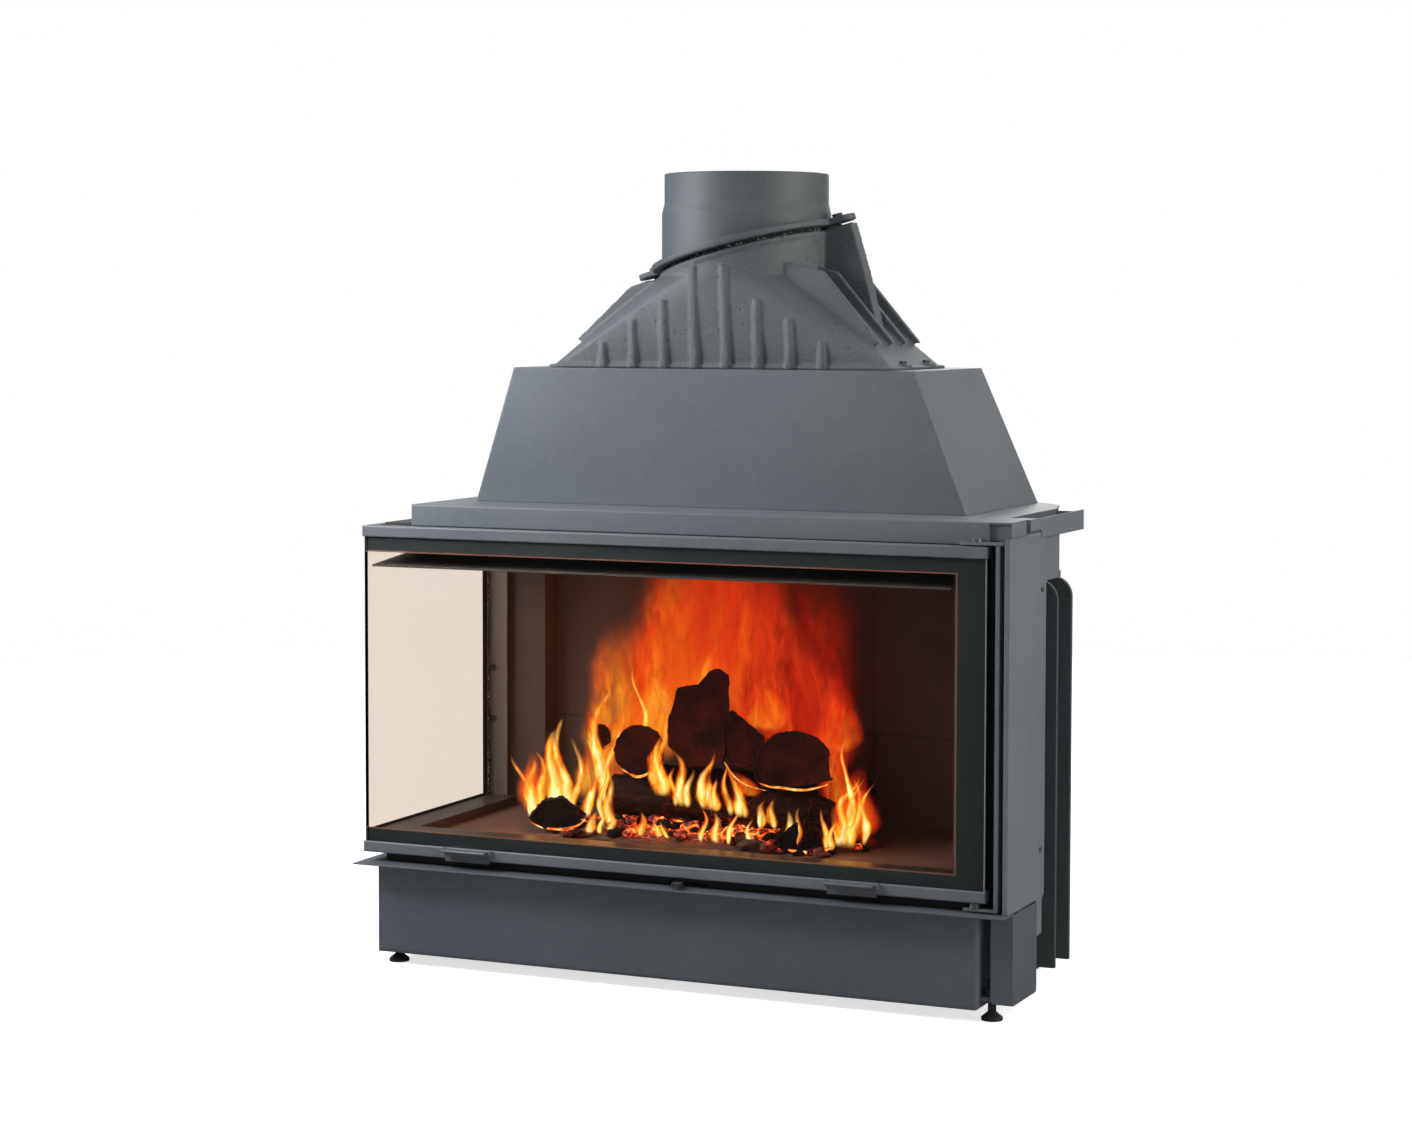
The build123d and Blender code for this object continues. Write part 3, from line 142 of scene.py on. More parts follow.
floor_material, tree, output = empty_material("studio_floor")
rays = node(tree, "LightPath").outputs
speckle = node(tree, "TexNoise", {"Scale": 4.0, "Detail": 3.0})
pale = remap(tree, speckle.outputs[0], 0.0, 1.0, 0.80, 0.84)
matt = node(tree, "BsdfDiffuse", {"Color": pale})
lift = node(tree, "Emission", {"Color": WHITE, "Strength": 0.70})
lifted = node(tree, "AddShader", {0: matt.outputs[0], 1: lift.outputs[0]})
through_glass = node(tree, "Emission", {"Color": WHITE, "Strength": 1.0})
direct = either(tree, rays["Is Camera Ray"], matt, lifted)
glanced = maths(tree, "GREATER_THAN", rays["Glossy Depth"], AFTER_GLANCE)
straight = maths(tree, "SUBTRACT", rays["Is Transmission Ray"], glanced, clamp=True)
dim = node(tree, "Emission", {"Color": WHITE, "Strength": 0.05})
open_air = either(tree, glanced, direct, dim)
shown = either(tree, straight, open_air, through_glass)
tree.links.new(shown.outputs[0], output.inputs[0])


def pick(*pieces):
    """Selects these pieces and no others, the first of them active."""
    bpy.ops.object.select_all(action="DESELECT")
    for piece in pieces:
        piece.select_set(True)
    if pieces:
        bpy.context.view_layer.objects.active = pieces[0]


pick()
bpy.ops.mesh.primitive_circle_add(vertices=96, radius=4.5, fill_type="NGON", location=(0, 0, -0.0005))
floor = bpy.context.object
floor.name = "studio_floor"
bpy.ops.object.transform_apply(location=True, rotation=True, scale=True)
floor.data.materials.append(floor_material)


def softbox(name, place, aim, width, height, power, colour):
    """A large rectangular lamp that points at aim."""
    lamp = bpy.data.lights.new(name, "AREA")
    lamp.shape = "RECTANGLE"
    lamp.size = width
    lamp.size_y = height
    lamp.energy = power
    lamp.color = colour
    holder = bpy.data.objects.new(name, lamp)
    holder.location = place
    holder.rotation_euler = (Vector(aim) - Vector(place)).to_track_quat("-Z", "Y").to_euler()
    bpy.context.scene.collection.objects.link(holder)


softbox("near_softbox", (-1.0, -1.0, 1.3), (-0.1, -0.1, 0.85), 0.4, 0.5, 15, (0.94, 0.97, 1.0))
softbox("left_softbox", (-1.9, -0.9, 1.6), (-0.1, -0.1, 0.9), 0.9, 1.1, 26, (0.95, 0.975, 1.0))
softbox("right_softbox", (3.1, -0.35, 1.5), (0.4, 0, 0.6), 2.0, 2.0, 68, (1.0, 0.99, 0.93))
softbox("top_softbox", (0.2, 0.9, 3.6), (0, 0, 0.9), 2.4, 2.4, 18, (1.0, 1.0, 1.0))
softbox("rear_softbox", (-0.8, 3.8, 2.0), (0, 0, 0.7), 2.4, 2.0, 48, (1.0, 1.0, 1.0))


# Casing and hood
# Folded 2 and 3 mm steel sheet, spot welded, under one coat of satin heat-proof graphite paint.
# The edges are folded round, and dust lies on what faces up.

FINISH = {"Color": "Color", "Roughness": "Float", "Normal": "Vector"}


def new_group(name, inputs, outputs):
    """A shader node group with sockets of these names and kinds, and its two end nodes."""
    group = bpy.data.node_groups.new(name, "ShaderNodeTree")
    for side, sockets in (("INPUT", inputs), ("OUTPUT", outputs)):
        for label, kind in sockets.items():
            group.interface.new_socket(name=label, in_out=side, socket_type="NodeSocket" + kind)
    return group, group.nodes.new("NodeGroupInput").outputs, group.nodes.new("NodeGroupOutput").inputs


def put_out(group, out, **results):
    """Links a group's results to its outputs."""
    for label, result in results.items():
        group.links.new(result, out[label])


def cloud(tree, place, scale, detail, roughness=0.5, distortion=0.0):
    """Soft noise from 0 to 1."""
    return node(tree, "TexNoise", {"Vector": place, "Scale": scale, "Detail": detail, "Roughness": roughness,
                                   "Distortion": distortion}).outputs[0]


def between(tree, share, first, second, **settings):
    """One colour where share is 0 and the other where it is 1. Sockets 6 and 7 are the colours."""
    return node(tree, "Mix", {"Factor": share, 6: first, 7: second}, data_type="RGBA", **settings).outputs[2]


def painted_sheet_group():
    """Satin paint on steel: faint clouding, settled dust, orange peel and rounded edges."""
    group, given, out = new_group(
        "painted_sheet", {"Paint": "Color", "Dust": "Color", "Roughness": "Float", "Peel": "Float",
                          "Rounding": "Float"}, FINISH)
    place = node(group, "TexCoord").outputs["Object"]
    broad = cloud(group, place, 3.2, 4.0, 0.55)
    fine = cloud(group, place, 60.0, 5.0, 0.6)
    peel = cloud(group, place, 480.0, 2.0)
    spread = remap(group, broad, 0.3, 0.7, 0.0, 0.30)
    specks = remap(group, fine, 0.45, 0.8, 0.0, 0.22)
    facing = node(group, "NewGeometry").outputs["Normal"]
    upward = node(group, "SeparateXYZ", {0: facing}).outputs["Z"]
    settled = remap(group, upward, 0.35, 1.0, 0.0, 0.35)
    amount = maths(group, "ADD", spread, specks)
    total = maths(group, "ADD", amount, settled, clamp=True)
    colour = between(group, total, given["Paint"], given["Dust"])
    rough = maths(group, "MULTIPLY_ADD", total, 0.16, given["Roughness"])
    rounded = node(group, "Bevel", {"Radius": given["Rounding"]}, samples=4)
    bump = node(group, "Bump", {"Strength": given["Peel"], "Distance": 0.0004, "Height": peel,
                                "Normal": rounded.outputs[0]})
    put_out(group, out, Color=colour, Roughness=rough, Normal=bump.outputs[0])
    return group


def skin(name, group, values, **constants):
    """A material whose colour, roughness and normal come from a group, with the rest set on the shader."""
    material, tree, output = empty_material(name)
    grouped = node(tree, "Group", node_tree=group)
    for label, value in values.items():
        grouped.inputs[label].default_value = value
    shader = node(tree, "BsdfPrincipled", {
        "Base Color": grouped.outputs["Color"], "Roughness": grouped.outputs["Roughness"],
        "Normal": grouped.outputs["Normal"]})
    for label, value in constants.items():
        shader.inputs[label.replace("_", " ")].default_value = value
    tree.links.new(shader.outputs[0], output.inputs[0])
    return material


painted_sheet = painted_sheet_group()


def tone(red, green, blue):
    """A colour as it is seen on a screen, 0 to 255, as the shader's linear value."""
    def linear(value):
        value /= 255
        return value / 12.92 if value <= 0.04045 else ((value + 0.055) / 1.055) ** 2.4
    return (linear(red), linear(green), linear(blue), 1)


def paint(name, coat, dust, roughness, peel, rounding, **constants):
    """A painted finish. Its rounding of the edges is in metres."""
    return skin(name, painted_sheet, {"Paint": tone(*coat), "Dust": tone(*dust), "Roughness": roughness,
                                      "Peel": peel, "Rounding": rounding}, **constants)


def dress(material, *names):
    """Gives CAD nodes their finish."""
    for name in names:
        cad_nodes[name].data.materials.clear()
        cad_nodes[name].data.materials.append(material)


dress(paint("casing_paint", (96, 101, 107), (122, 127, 131), 0.42, 0.10, 0.0028),
      "hood_front_panel", "hood_rear_panel", "hood_left_panel", "hood_right_panel", "top_plate",
      "top_front_panel", "right_gutter", "right_upper_casing", "right_side_panel")


# Base
# A skirt of folded sheet under the firebox in a darker coat, on a plate that stands out as a thin ledge.
# It hides the zinc-plated air box and shutter and stands on four black screw feet.

dress(paint("base_paint", (75, 80, 87), (96, 101, 107), 0.40, 0.12, 0.003),
      "base_plate", "base_front_panel", "base_left_panel", "base_rear_panel", "base_corner_post",
      "foot_brackets")
dress(paint("zinc_steel", (120, 122, 122), (80, 82, 82), 0.34, 0.25, 0.0005, Metallic=0.85),
      "air_inlet_box", "air_shutter")
foot_black = paint("foot_black", (38, 40, 42), (66, 68, 70), 0.28, 0.1, 0.0012)
dress(foot_black, "foot_front_left", "foot_front_right", "foot_rear_left", "foot_rear_right")


# Firebox frame
# Black folded strips round the two openings, the walls behind the lining and the jamb, all welded.
# The post at the rear of the side window has a paler, browner coat and two black bolts.

dress(paint("frame_paint", (46, 46, 46), (62, 60, 56), 0.52, 0.2, 0.0008),
      "lintel_front", "lintel_left", "right_jamb", "sill_front", "sill_left", "firebox_floor",
      "firebox_back_wall", "firebox_right_wall", "air_deflector", "baffle_rails")
dress(paint("post_paint", (78, 74, 72), (92, 87, 84), 0.46, 0.2, 0.001), "left_rear_post")
dress(foot_black, "post_bolts")


# Firebox lining
# Cast refractory slabs laid with narrow joints on a slab of the same, brown-grey and smoked by the fire.
# The hearth is redder and coarser than the walls.

def fire_clay_group():
    """Smoked refractory: sandy grain, soot clouds that thicken upwards, small pits."""
    group, given, out = new_group("fire_clay", {"Clay": "Color", "Soot": "Color", "Grain": "Float"}, FINISH)
    place = node(group, "TexCoord").outputs["Object"]
    broad = cloud(group, place, 6.0, 6.0, 0.6)
    sand = cloud(group, place, 420.0, 4.0)
    pits = node(group, "TexVoronoi", {"Vector": place, "Scale": 210.0})
    height = node(group, "SeparateXYZ", {0: place}).outputs["Z"]
    rise = remap(group, height, 0.2, 0.65, -0.25, 0.3)
    smoke = maths(group, "ADD", broad, rise, clamp=True)
    colour = between(group, smoke, given["Clay"], given["Soot"])
    grainy = maths(group, "MULTIPLY_ADD", pits.outputs["Distance"], 0.6, sand)
    bump = node(group, "Bump", {"Strength": given["Grain"], "Distance": 0.0006, "Height": grainy})
    rough = remap(group, sand, 0.0, 1.0, 0.78, 0.95)
    put_out(group, out, Color=colour, Roughness=rough, Normal=bump.outputs[0])
    return group


fire_clay = fire_clay_group()
dress(skin("lining_clay", fire_clay, {"Clay": tone(68, 54, 48), "Soot": tone(36, 29, 27), "Grain": 0.10}),
      "back_lining", "right_lining", "left_lining", "baffle_plate")
dress(skin("hearth_clay", fire_clay, {"Clay": tone(86, 62, 54), "Soot": tone(46, 34, 31), "Grain": 0.2}),
      "hearth_floor")


# Castings
# The fins, the hearth's rim, the dome and the collar are grey cast iron under the same graphite paint.
# The dome and the collar come out of their sand moulds with rounded edges and filled corners.

def cast_skin_group():
    """Painted sand casting: coarse grain, scattered pits and dark specks."""
    group, given, out = new_group(
        "cast_skin", {"Paint": "Color", "Pit": "Color", "Roughness": "Float", "Grain": "Float"}, FINISH)
    place = node(group, "TexCoord").outputs["Object"]
    broad = cloud(group, place, 7.0, 5.0, 0.6)
    sand = cloud(group, place, 260.0, 5.0, 0.65)
    pits = node(group, "TexVoronoi", {"Vector": place, "Scale": 95.0})
    hole = remap(group, pits.outputs["Distance"], 0.05, 0.24, 1.0, 0.0)
    patches = cloud(group, place, 22.0, 2.0)
    where = remap(group, patches, 0.48, 0.62)
    pitted = maths(group, "MULTIPLY", hole, where)
    shade = remap(group, broad, 0.3, 0.7, 0.86, 1.12)
    speck = remap(group, sand, 0.35, 0.75, 0.86, 1.16)
    level = maths(group, "MULTIPLY", shade, speck)
    tinted = between(group, 1.0, given["Paint"], level, blend_type="MULTIPLY")
    dark = maths(group, "MULTIPLY", pitted, 0.75)
    colour = between(group, dark, tinted, given["Pit"])
    surface = maths(group, "MULTIPLY_ADD", pitted, -1.2, sand)
    bump = node(group, "Bump", {"Strength": given["Grain"], "Distance": 0.0012, "Height": surface})
    rough = maths(group, "MULTIPLY_ADD", sand, 0.2, given["Roughness"])
    put_out(group, out, Color=colour, Roughness=rough, Normal=bump.outputs[0])
    return group


def iron(name, coat, pit, roughness, grain, **constants):
    """A finish of painted cast iron."""
    return skin(name, cast_skin, {"Paint": tone(*coat), "Pit": tone(*pit), "Roughness": roughness,
                                  "Grain": grain}, **constants)


def softened_casting(name, cad_name, voxel, passes, material):
    """A copy of a CAD casting with the rounded edges and hollow corners that a sand mould leaves."""
    piece = bpy.data.objects.new(name, cad_nodes[cad_name].data.copy())
    bpy.context.scene.collection.objects.link(piece)
    pick(piece)
    weld = piece.modifiers.new("weld", "WELD")
    weld.merge_threshold = 0.00002
    remesh = piece.modifiers.new("remesh", "REMESH")
    remesh.mode = "VOXEL"
    remesh.voxel_size = voxel
    smooth = piece.modifiers.new("smooth", "SMOOTH")
    smooth.factor = 0.5
    smooth.iterations = passes
    for modifier in ("weld", "remesh", "smooth"):
        bpy.ops.object.modifier_apply(modifier=modifier)
    bpy.ops.object.shade_smooth()
    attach(piece, "root")
    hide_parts(cad_name)
    piece.data.materials.clear()
    piece.data.materials.append(material)


cast_skin = cast_skin_group()
dome_iron = iron("dome_iron", (88, 93, 97), (40, 43, 46), 0.48, 0.55)
collar_iron = iron("collar_iron", (81, 87, 91), (60, 64, 67), 0.46, 0.16)
fin_iron = iron("fin_iron", (66, 71, 75), (36, 39, 41), 0.46, 0.3)
rim_iron = iron("rim_iron", (74, 66, 62), (30, 28, 27), 0.22, 0.2, Metallic=0.5)
softened_casting("cast_dome", "smoke_dome", 0.0025, 2, dome_iron)
softened_casting("cast_collar", "flue_collar", 0.0018, 1, collar_iron)
dress(fin_iron, "side_fin_plate", "rear_fin_plate")
dress(rim_iron, "hearth_rim")
dress(collar_iron, "collar_bolts", "dome_bolts")


# Sealing ropes
# Braided glass-fibre rope, black with worn pale strands.
# It is squeezed between the collar and the dome and behind the door.

def braid_group():
    """Braided cord: pale worn strands over dark gaps."""
    group, given, out = new_group("braid", {"Strand": "Color", "Gap": "Color"}, FINISH)
    place = node(group, "TexCoord").outputs["Object"]
    strands = node(group, "TexVoronoi", {"Vector": place, "Scale": 210.0})
    worn = cloud(group, place, 24.0, 3.0)
    crown = remap(group, strands.outputs["Distance"], 0.18, 0.45, 1.0, 0.0)
    rubbed = remap(group, worn, 0.4, 0.6, 0.15, 1.0)
    mask = maths(group, "MULTIPLY", crown, rubbed)
    colour = between(group, mask, given["Gap"], given["Strand"])
    rough = remap(group, mask, 0.0, 1.0, 0.95, 0.75)
    bump = node(group, "Bump", {"Strength": 0.9, "Distance": 0.0015, "Height": crown})
    put_out(group, out, Color=colour, Roughness=rough, Normal=bump.outputs[0])
    return group


dress(skin("rope_black", braid_group(), {"Strand": tone(132, 136, 136), "Gap": tone(24, 26, 27)}),
      "flue_seal_rope", "door_seals")


# Door
# Square steel tube under satin paint round two panes of glass ceramic that meet bare at the corner.
# Two catches of bent sheet turn on barrels under the bottom rail.

dress(paint("door_paint", (92, 96, 101), (120, 124, 128), 0.36, 0.08, 0.0028),
      "door_top_rail", "door_top_side_rail", "door_bottom_rail", "door_bottom_side_rail", "door_right_stile")
dress(paint("catch_paint", (74, 78, 82), (104, 108, 112), 0.38, 0.1, 0.0009), "left_catch", "right_catch")

glass_material, tree, output = empty_material("door_glass")
rays = node(tree, "LightPath").outputs
streaks = cloud(tree, node(tree, "TexCoord").outputs["Object"], 5.0, 3.0)
tint = between(tree, streaks, (0.982, 0.916, 0.860, 1), (0.968, 0.900, 0.842, 1))
pane = node(tree, "BsdfPrincipled", {
    "Base Color": tint, "Roughness": 0.0, "IOR": 1.36, "Transmission Weight": 1.0})
clear = node(tree, "BsdfTransparent", {"Color": (0.90, 0.86, 0.82, 1)})
shown = either(tree, rays["Is Shadow Ray"], pane, clear)
tree.links.new(shown.outputs[0], output.inputs[0])
dress(glass_material, "front_glass", "side_glass")


# Printed border
# A black enamel border is fired onto the panes' inner faces, so each lies just inside its glass.
# Inside it on the front pane runs a copper hairline, a painted glow that stands for the fire's light on the
# window's inner edge.

def keep_active(piece, name, material):
    """Names a new piece, gives it its material and puts its place into its mesh."""
    bpy.ops.object.transform_apply(location=True, rotation=True, scale=True)
    piece.name = name
    piece.data.name = name
    piece.data.materials.clear()
    piece.data.materials.append(material)


def printed_border(name, outside, window, to_pane, material):
    """A thin border: a sheet cut at the window's lines, its middle taken out.

    The sheet lies in X and Z, in millimetres. outside and window are (left, right, low, high).
    """
    left, right, low, high = window
    width = outside[1] - outside[0]
    height = outside[3] - outside[2]
    centre = (outside[0] + width / 2, 0, outside[2] + height / 2)
    pick()
    bpy.ops.mesh.primitive_plane_add(size=1, location=centre, rotation=(math.pi / 2, 0, 0))
    sheet = bpy.context.object
    sheet.scale = (width, height, 1)
    bpy.ops.object.transform_apply(location=True, rotation=True, scale=True)
    bpy.ops.object.mode_set(mode="EDIT")
    for place, normal in (((left, 0, 0), (1, 0, 0)), ((right, 0, 0), (1, 0, 0)), ((0, 0, low), (0, 0, 1)),
                          ((0, 0, high), (0, 0, 1))):
        bpy.ops.mesh.select_all(action="SELECT")
        bpy.ops.mesh.bisect(plane_co=place, plane_no=normal)
    bpy.ops.mesh.select_mode(type="FACE")
    form = bmesh.from_edit_mesh(sheet.data)
    for face in form.faces:
        middle = face.calc_center_median()
        face.select_set(left < middle.x < right and low < middle.z < high)
    bmesh.update_edit_mesh(sheet.data)
    bpy.ops.mesh.delete(type="FACE")
    bpy.ops.object.mode_set(mode="OBJECT")
    thick = sheet.modifiers.new("thick", "SOLIDIFY")
    thick.thickness = 0.15
    thick.offset = 0
    bpy.ops.object.modifier_apply(modifier="thick")
    sheet.data.transform(to_pane)
    keep_active(sheet, name, material)
    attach(sheet, "door")


enamel = paint("black_enamel", (27, 35, 38), (33, 41, 44), 0.3, 0.0, 0.0001)
# Copper paint for the hairline: painted firelight, not a colour of the enamel.
painted_firelight_line = paint("painted_firelight_line", (120, 76, 54), (88, 62, 50), 0.4, 0.1, 0.0001)
to_front = Matrix.Translation(spot(3.5, 6.85, 0)) @ Matrix.Scale(MM, 4)
to_side = Matrix.Translation(spot(6.85, 8, 0)) @ Matrix.Rotation(math.pi / 2, 4, "Z") @ Matrix.Scale(MM, 4)
printed_border("front_glass_border", (0, 993, 183, 661), (-5, 951.5, 208, 634), to_front, enamel)
printed_border("side_glass_border", (0, 382, 183, 661), (-5, 366, 208, 634), to_side, enamel)
# The hairline inside the front border carries the painted firelight.
printed_border("front_window_firelight_line", (0, 951.3, 208.2, 633.8), (-5, 949.4, 210.0, 632.0), to_front,
               painted_firelight_line)


# Painted highlight on the pane's edge
# A thin pale strip with bevelled edges lies on the right end of the front pane.
# Its pale colour is a painted highlight: a pale upright line beside the stile, where the pane's edge catches
# the light.

highlight_strip_depth = 0.0010
# The strip's pale colour is a painted highlight of the glass edge.
painted_edge_highlight = paint("painted_edge_highlight", (136, 146, 150), (168, 176, 178), 0.5, 0.6, 0.0003)
pane_low, pane_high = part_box("front_glass")
pick()
bpy.ops.mesh.primitive_cube_add(size=1, location=(
    pane_high[0] + highlight_strip_depth / 2, (pane_low[1] + pane_high[1]) / 2, (pane_low[2] + pane_high[2]) / 2))
edge_highlight_strip = bpy.context.object
edge_highlight_strip.scale = (highlight_strip_depth, pane_high[1] - pane_low[1], pane_high[2] - pane_low[2])
bpy.ops.object.transform_apply(location=True, rotation=True, scale=True)
bpy.ops.object.mode_set(mode="EDIT")
bpy.ops.mesh.select_all(action="SELECT")
bpy.ops.mesh.bevel(offset=0.0003, segments=2)
bpy.ops.object.mode_set(mode="OBJECT")
keep_active(edge_highlight_strip, "front_glass_edge_highlight", painted_edge_highlight)
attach(edge_highlight_strip, "door")


# Hinge and lever
# The hinge frame is painted bar with pins of plain steel, and the same steel makes the side panel's screws.
# The air lever ends in a small moulded knob of black heat-proof plastic.

dress(paint("hinge_paint", (96, 102, 108), (120, 126, 130), 0.34, 0.1, 0.002), "hinge_frame")
dress(paint("pin_steel", (112, 116, 112), (150, 152, 148), 0.32, 0.15, 0.0006, Metallic=0.7),
      "hinge_pins", "side_panel_screws")
dress(paint("knob_black", (34, 35, 36), (70, 72, 74), 0.4, 0.4, 0.0008), "air_knob")


# Burning logs
# Beech logs and split billets, charred black on the bark, with dark red cut ends towards the door.
# They lie across each other on the hearth, with three pieces of charcoal at their feet.

LOG_SIDES = 64
LOG_CUTS = 34
END_FACING = 0.8
END_STEPS = ((0.95, 0.0012), (0.75, 0.0), (0.7, 0.0), (0.6, 0.0))
BROAD_SWELLS, BARK_KNOBS, FINE_GRAIN = 28, 90, 240


def set_ramp(ramp, stops):
    """Gives a colour ramp its stops, as (place, (red, green, blue))."""
    band = ramp.color_ramp
    while len(band.elements) < len(stops):
        band.elements.new(0.5)
    for element, (place, colour) in zip(band.elements, stops):
        element.position = place
        element.color = (*colour, 1)


def charred_group():
    """Charred wood: scorched colour along the grain, cracks that glow near the embers."""
    group, given, out = new_group(
        "charred", {"Wood": "Color", "Char": "Color", "Glow": "Float", "Relief": "Float"},
        {**FINISH, "Heat": "Color"})
    place = node(group, "TexCoord").outputs["Object"]
    blotch = cloud(group, place, 22.0, 6.0, 0.65)
    flakes = node(group, "TexVoronoi", {"Vector": place, "Scale": 85.0}, feature="DISTANCE_TO_EDGE")
    fibre = cloud(group, place, 190.0, 4.0)
    scorch = remap(group, blotch, 0.38, 0.62)
    colour = between(group, scorch, given["Wood"], given["Char"])
    relief = maths(group, "MULTIPLY_ADD", flakes.outputs["Distance"], 1.4, fibre)
    bump = node(group, "Bump", {"Strength": given["Relief"], "Distance": 0.0018, "Height": relief})
    height = node(group, "SeparateXYZ", {0: place}).outputs["Z"]
    low_down = remap(group, height, 0.215, 0.285, 1.0, 0.0)
    crack = remap(group, flakes.outputs["Distance"], 0.0, 0.11, 1.0, 0.0)
    patch = remap(group, blotch, 0.5, 0.68)
    lit = maths(group, "MULTIPLY", crack, patch)
    warm = maths(group, "MULTIPLY", lit, low_down)
    ember = maths(group, "MULTIPLY", warm, given["Glow"], clamp=True)
    ramp = node(group, "ValToRGB", {0: ember})
    set_ramp(ramp, ((0.0, (0, 0, 0)), (0.25, (0.10, 0.003, 0.001)), (0.6, (0.85, 0.10, 0.01)),
                    (1.0, (1.0, 0.55, 0.12))))
    rough = remap(group, fibre, 0.0, 1.0, 0.7, 0.95)
    put_out(group, out, Color=colour, Roughness=rough, Normal=bump.outputs[0], Heat=ramp.outputs[0])
    return group


charred = charred_group()


def wood_skin(name, wood, char, glow, relief):
    """A charred finish with its own glow."""
    material = skin(name, charred, {"Wood": tone(*wood), "Char": tone(*char), "Glow": glow, "Relief": relief},
                    Emission_Strength=1.4, Specular_IOR_Level=0.15)
    tree = material.node_tree
    grouped = next(item for item in tree.nodes if item.type == "GROUP")
    shader = next(item for item in tree.nodes if item.type == "BSDF_PRINCIPLED")
    tree.links.new(grouped.outputs["Heat"], shader.inputs["Emission Color"])
    return material


bark = wood_skin("charred_bark", (32, 14, 10), (9, 6, 5), 0.7, 1.0)
cut_wood = wood_skin("scorched_cut", (52, 12, 8), (26, 7, 5), 0.5, 0.7)
coal = wood_skin("black_charcoal", (16, 10, 8), (4, 3, 3), 0.45, 0.9)


def circle_outline(radius, count=16):
    """A round section."""
    return [(radius * math.cos(2 * math.pi * step / count), radius * math.sin(2 * math.pi * step / count))
            for step in range(count)]


def along_outline(outline, share):
    """The point at a share of the way round a closed outline."""
    corners = [Vector(point) for point in outline] + [Vector(outline[0])]
    lengths = [(second - first).length for first, second in zip(corners, corners[1:])]
    way = (share % 1.0) * sum(lengths)
    for first, second, length in zip(corners, corners[1:], lengths):
        if way <= length:
            return first.lerp(second, way / length)
        way -= length
    return corners[0]


def burning_log(name, outline, start, finish, seed, rough=4.6, skins=(bark, cut_wood)):
    """A log with a given section, from one end to the other, with rough bark and recessed ends.

    The section is in millimetres, as (sideways, up) from the line between the two ends.
    """
    start = spot(*start)
    finish = spot(*finish)
    length = (finish - start).length
    along = (finish - start).normalized()
    sideways = along.cross(Vector((0, 0, 1))).normalized()
    up = sideways.cross(along)
    pick()
    bpy.ops.mesh.primitive_cylinder_add(vertices=LOG_SIDES, radius=1, depth=1, end_fill_type="NGON")
    piece = bpy.context.object
    bpy.ops.object.mode_set(mode="EDIT")
    bpy.ops.mesh.select_mode(type="EDGE")
    bpy.ops.mesh.select_all(action="DESELECT")
    form = bmesh.from_edit_mesh(piece.data)
    for edge in form.edges:
        edge.select_set(abs(edge.verts[0].co.z - edge.verts[1].co.z) > 0.5)
    bmesh.update_edit_mesh(piece.data)
    bpy.ops.mesh.subdivide(number_cuts=LOG_CUTS)
    bpy.ops.object.mode_set(mode="OBJECT")
    for vertex in piece.data.vertices:
        share = math.atan2(vertex.co.y, vertex.co.x) / (2 * math.pi)
        point = along_outline(outline, share) * MM
        vertex.co = start + sideways * point.x + up * point.y + along * (vertex.co.z + 0.5) * length
    bpy.ops.object.mode_set(mode="EDIT")
    bpy.ops.mesh.select_mode(type="FACE")
    for end in (start, finish):
        bpy.ops.mesh.select_all(action="DESELECT")
        form = bmesh.from_edit_mesh(piece.data)
        cap = min((face for face in form.faces if len(face.verts) > 4),
                  key=lambda face: (face.calc_center_median() - end).length)
        cap.select_set(True)
        middle = cap.calc_center_median()
        bmesh.update_edit_mesh(piece.data)
        for share, step in END_STEPS:
            inwards = along * (step if end == start else -step)
            bpy.ops.mesh.extrude_region_move(TRANSFORM_OT_translate={"value": inwards})
            bpy.ops.transform.resize(value=(share, share, share), center_override=middle)
    bpy.ops.mesh.select_all(action="SELECT")
    bpy.ops.mesh.normals_make_consistent(inside=False)
    bpy.ops.object.mode_set(mode="OBJECT")
    shift = Vector((seed * 3.1, seed * 1.7, seed * 0.9))
    normals = [vertex.normal.copy() for vertex in piece.data.vertices]
    for vertex, normal in zip(piece.data.vertices, normals):
        broad = noise.noise(vertex.co * BROAD_SWELLS + shift)
        knobs = noise.noise(vertex.co * BARK_KNOBS + shift)
        grain = noise.noise(vertex.co * FINE_GRAIN + shift)
        calm = 0.35 if abs(normal.dot(along)) > END_FACING else 1.0
        amount = (0.5 * broad + 0.45 * knobs + 0.45 * grain) * rough * calm
        vertex.co += normal * amount * MM
    keep_active(piece, name, skins[0])
    piece.data.materials.append(skins[1])
    for face in piece.data.polygons:
        if abs(face.normal.dot(along)) > END_FACING:
            face.material_index = 1
    bpy.ops.object.shade_smooth_by_angle(angle=math.radians(40))
    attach(piece, "root")


burning_log("log_front_round", circle_outline(38), (372, 200, 324), (306, 352, 302), 1)
burning_log("log_rear_round", circle_outline(19), (274, 262, 331), (224, 376, 314), 2)
burning_log("log_half_round", [(62, 4), (50, 34), (28, 52), (0, 60), (-28, 54), (-52, 34), (-62, 2),
                               (-56, -16), (0, -24), (56, -14)],
            (631, 200, 308), (562, 358, 284), 3)
burning_log("billet_upright", [(-47, -28), (-46, 10), (-34, 60), (-2, 66), (14, 84), (30, 90), (44, 80),
                               (46, 10), (36, -56), (-16, -60)],
            (459, 232, 360), (404, 358, 342), 4, 5.0)
burning_log("billet_leaning", [(-34, 30), (-22, 44), (26, 4), (24, -32), (-4, -44), (-30, -40)],
            (530, 250, 344), (478, 370, 326), 5, 5.0)
burning_log("log_low_front", circle_outline(31), (312, 236, 248), (690, 246, 240), 6, 6.0, (bark, bark))
burning_log("log_low_rear", circle_outline(34), (300, 322, 250), (700, 330, 246), 7, 6.0, (bark, bark))
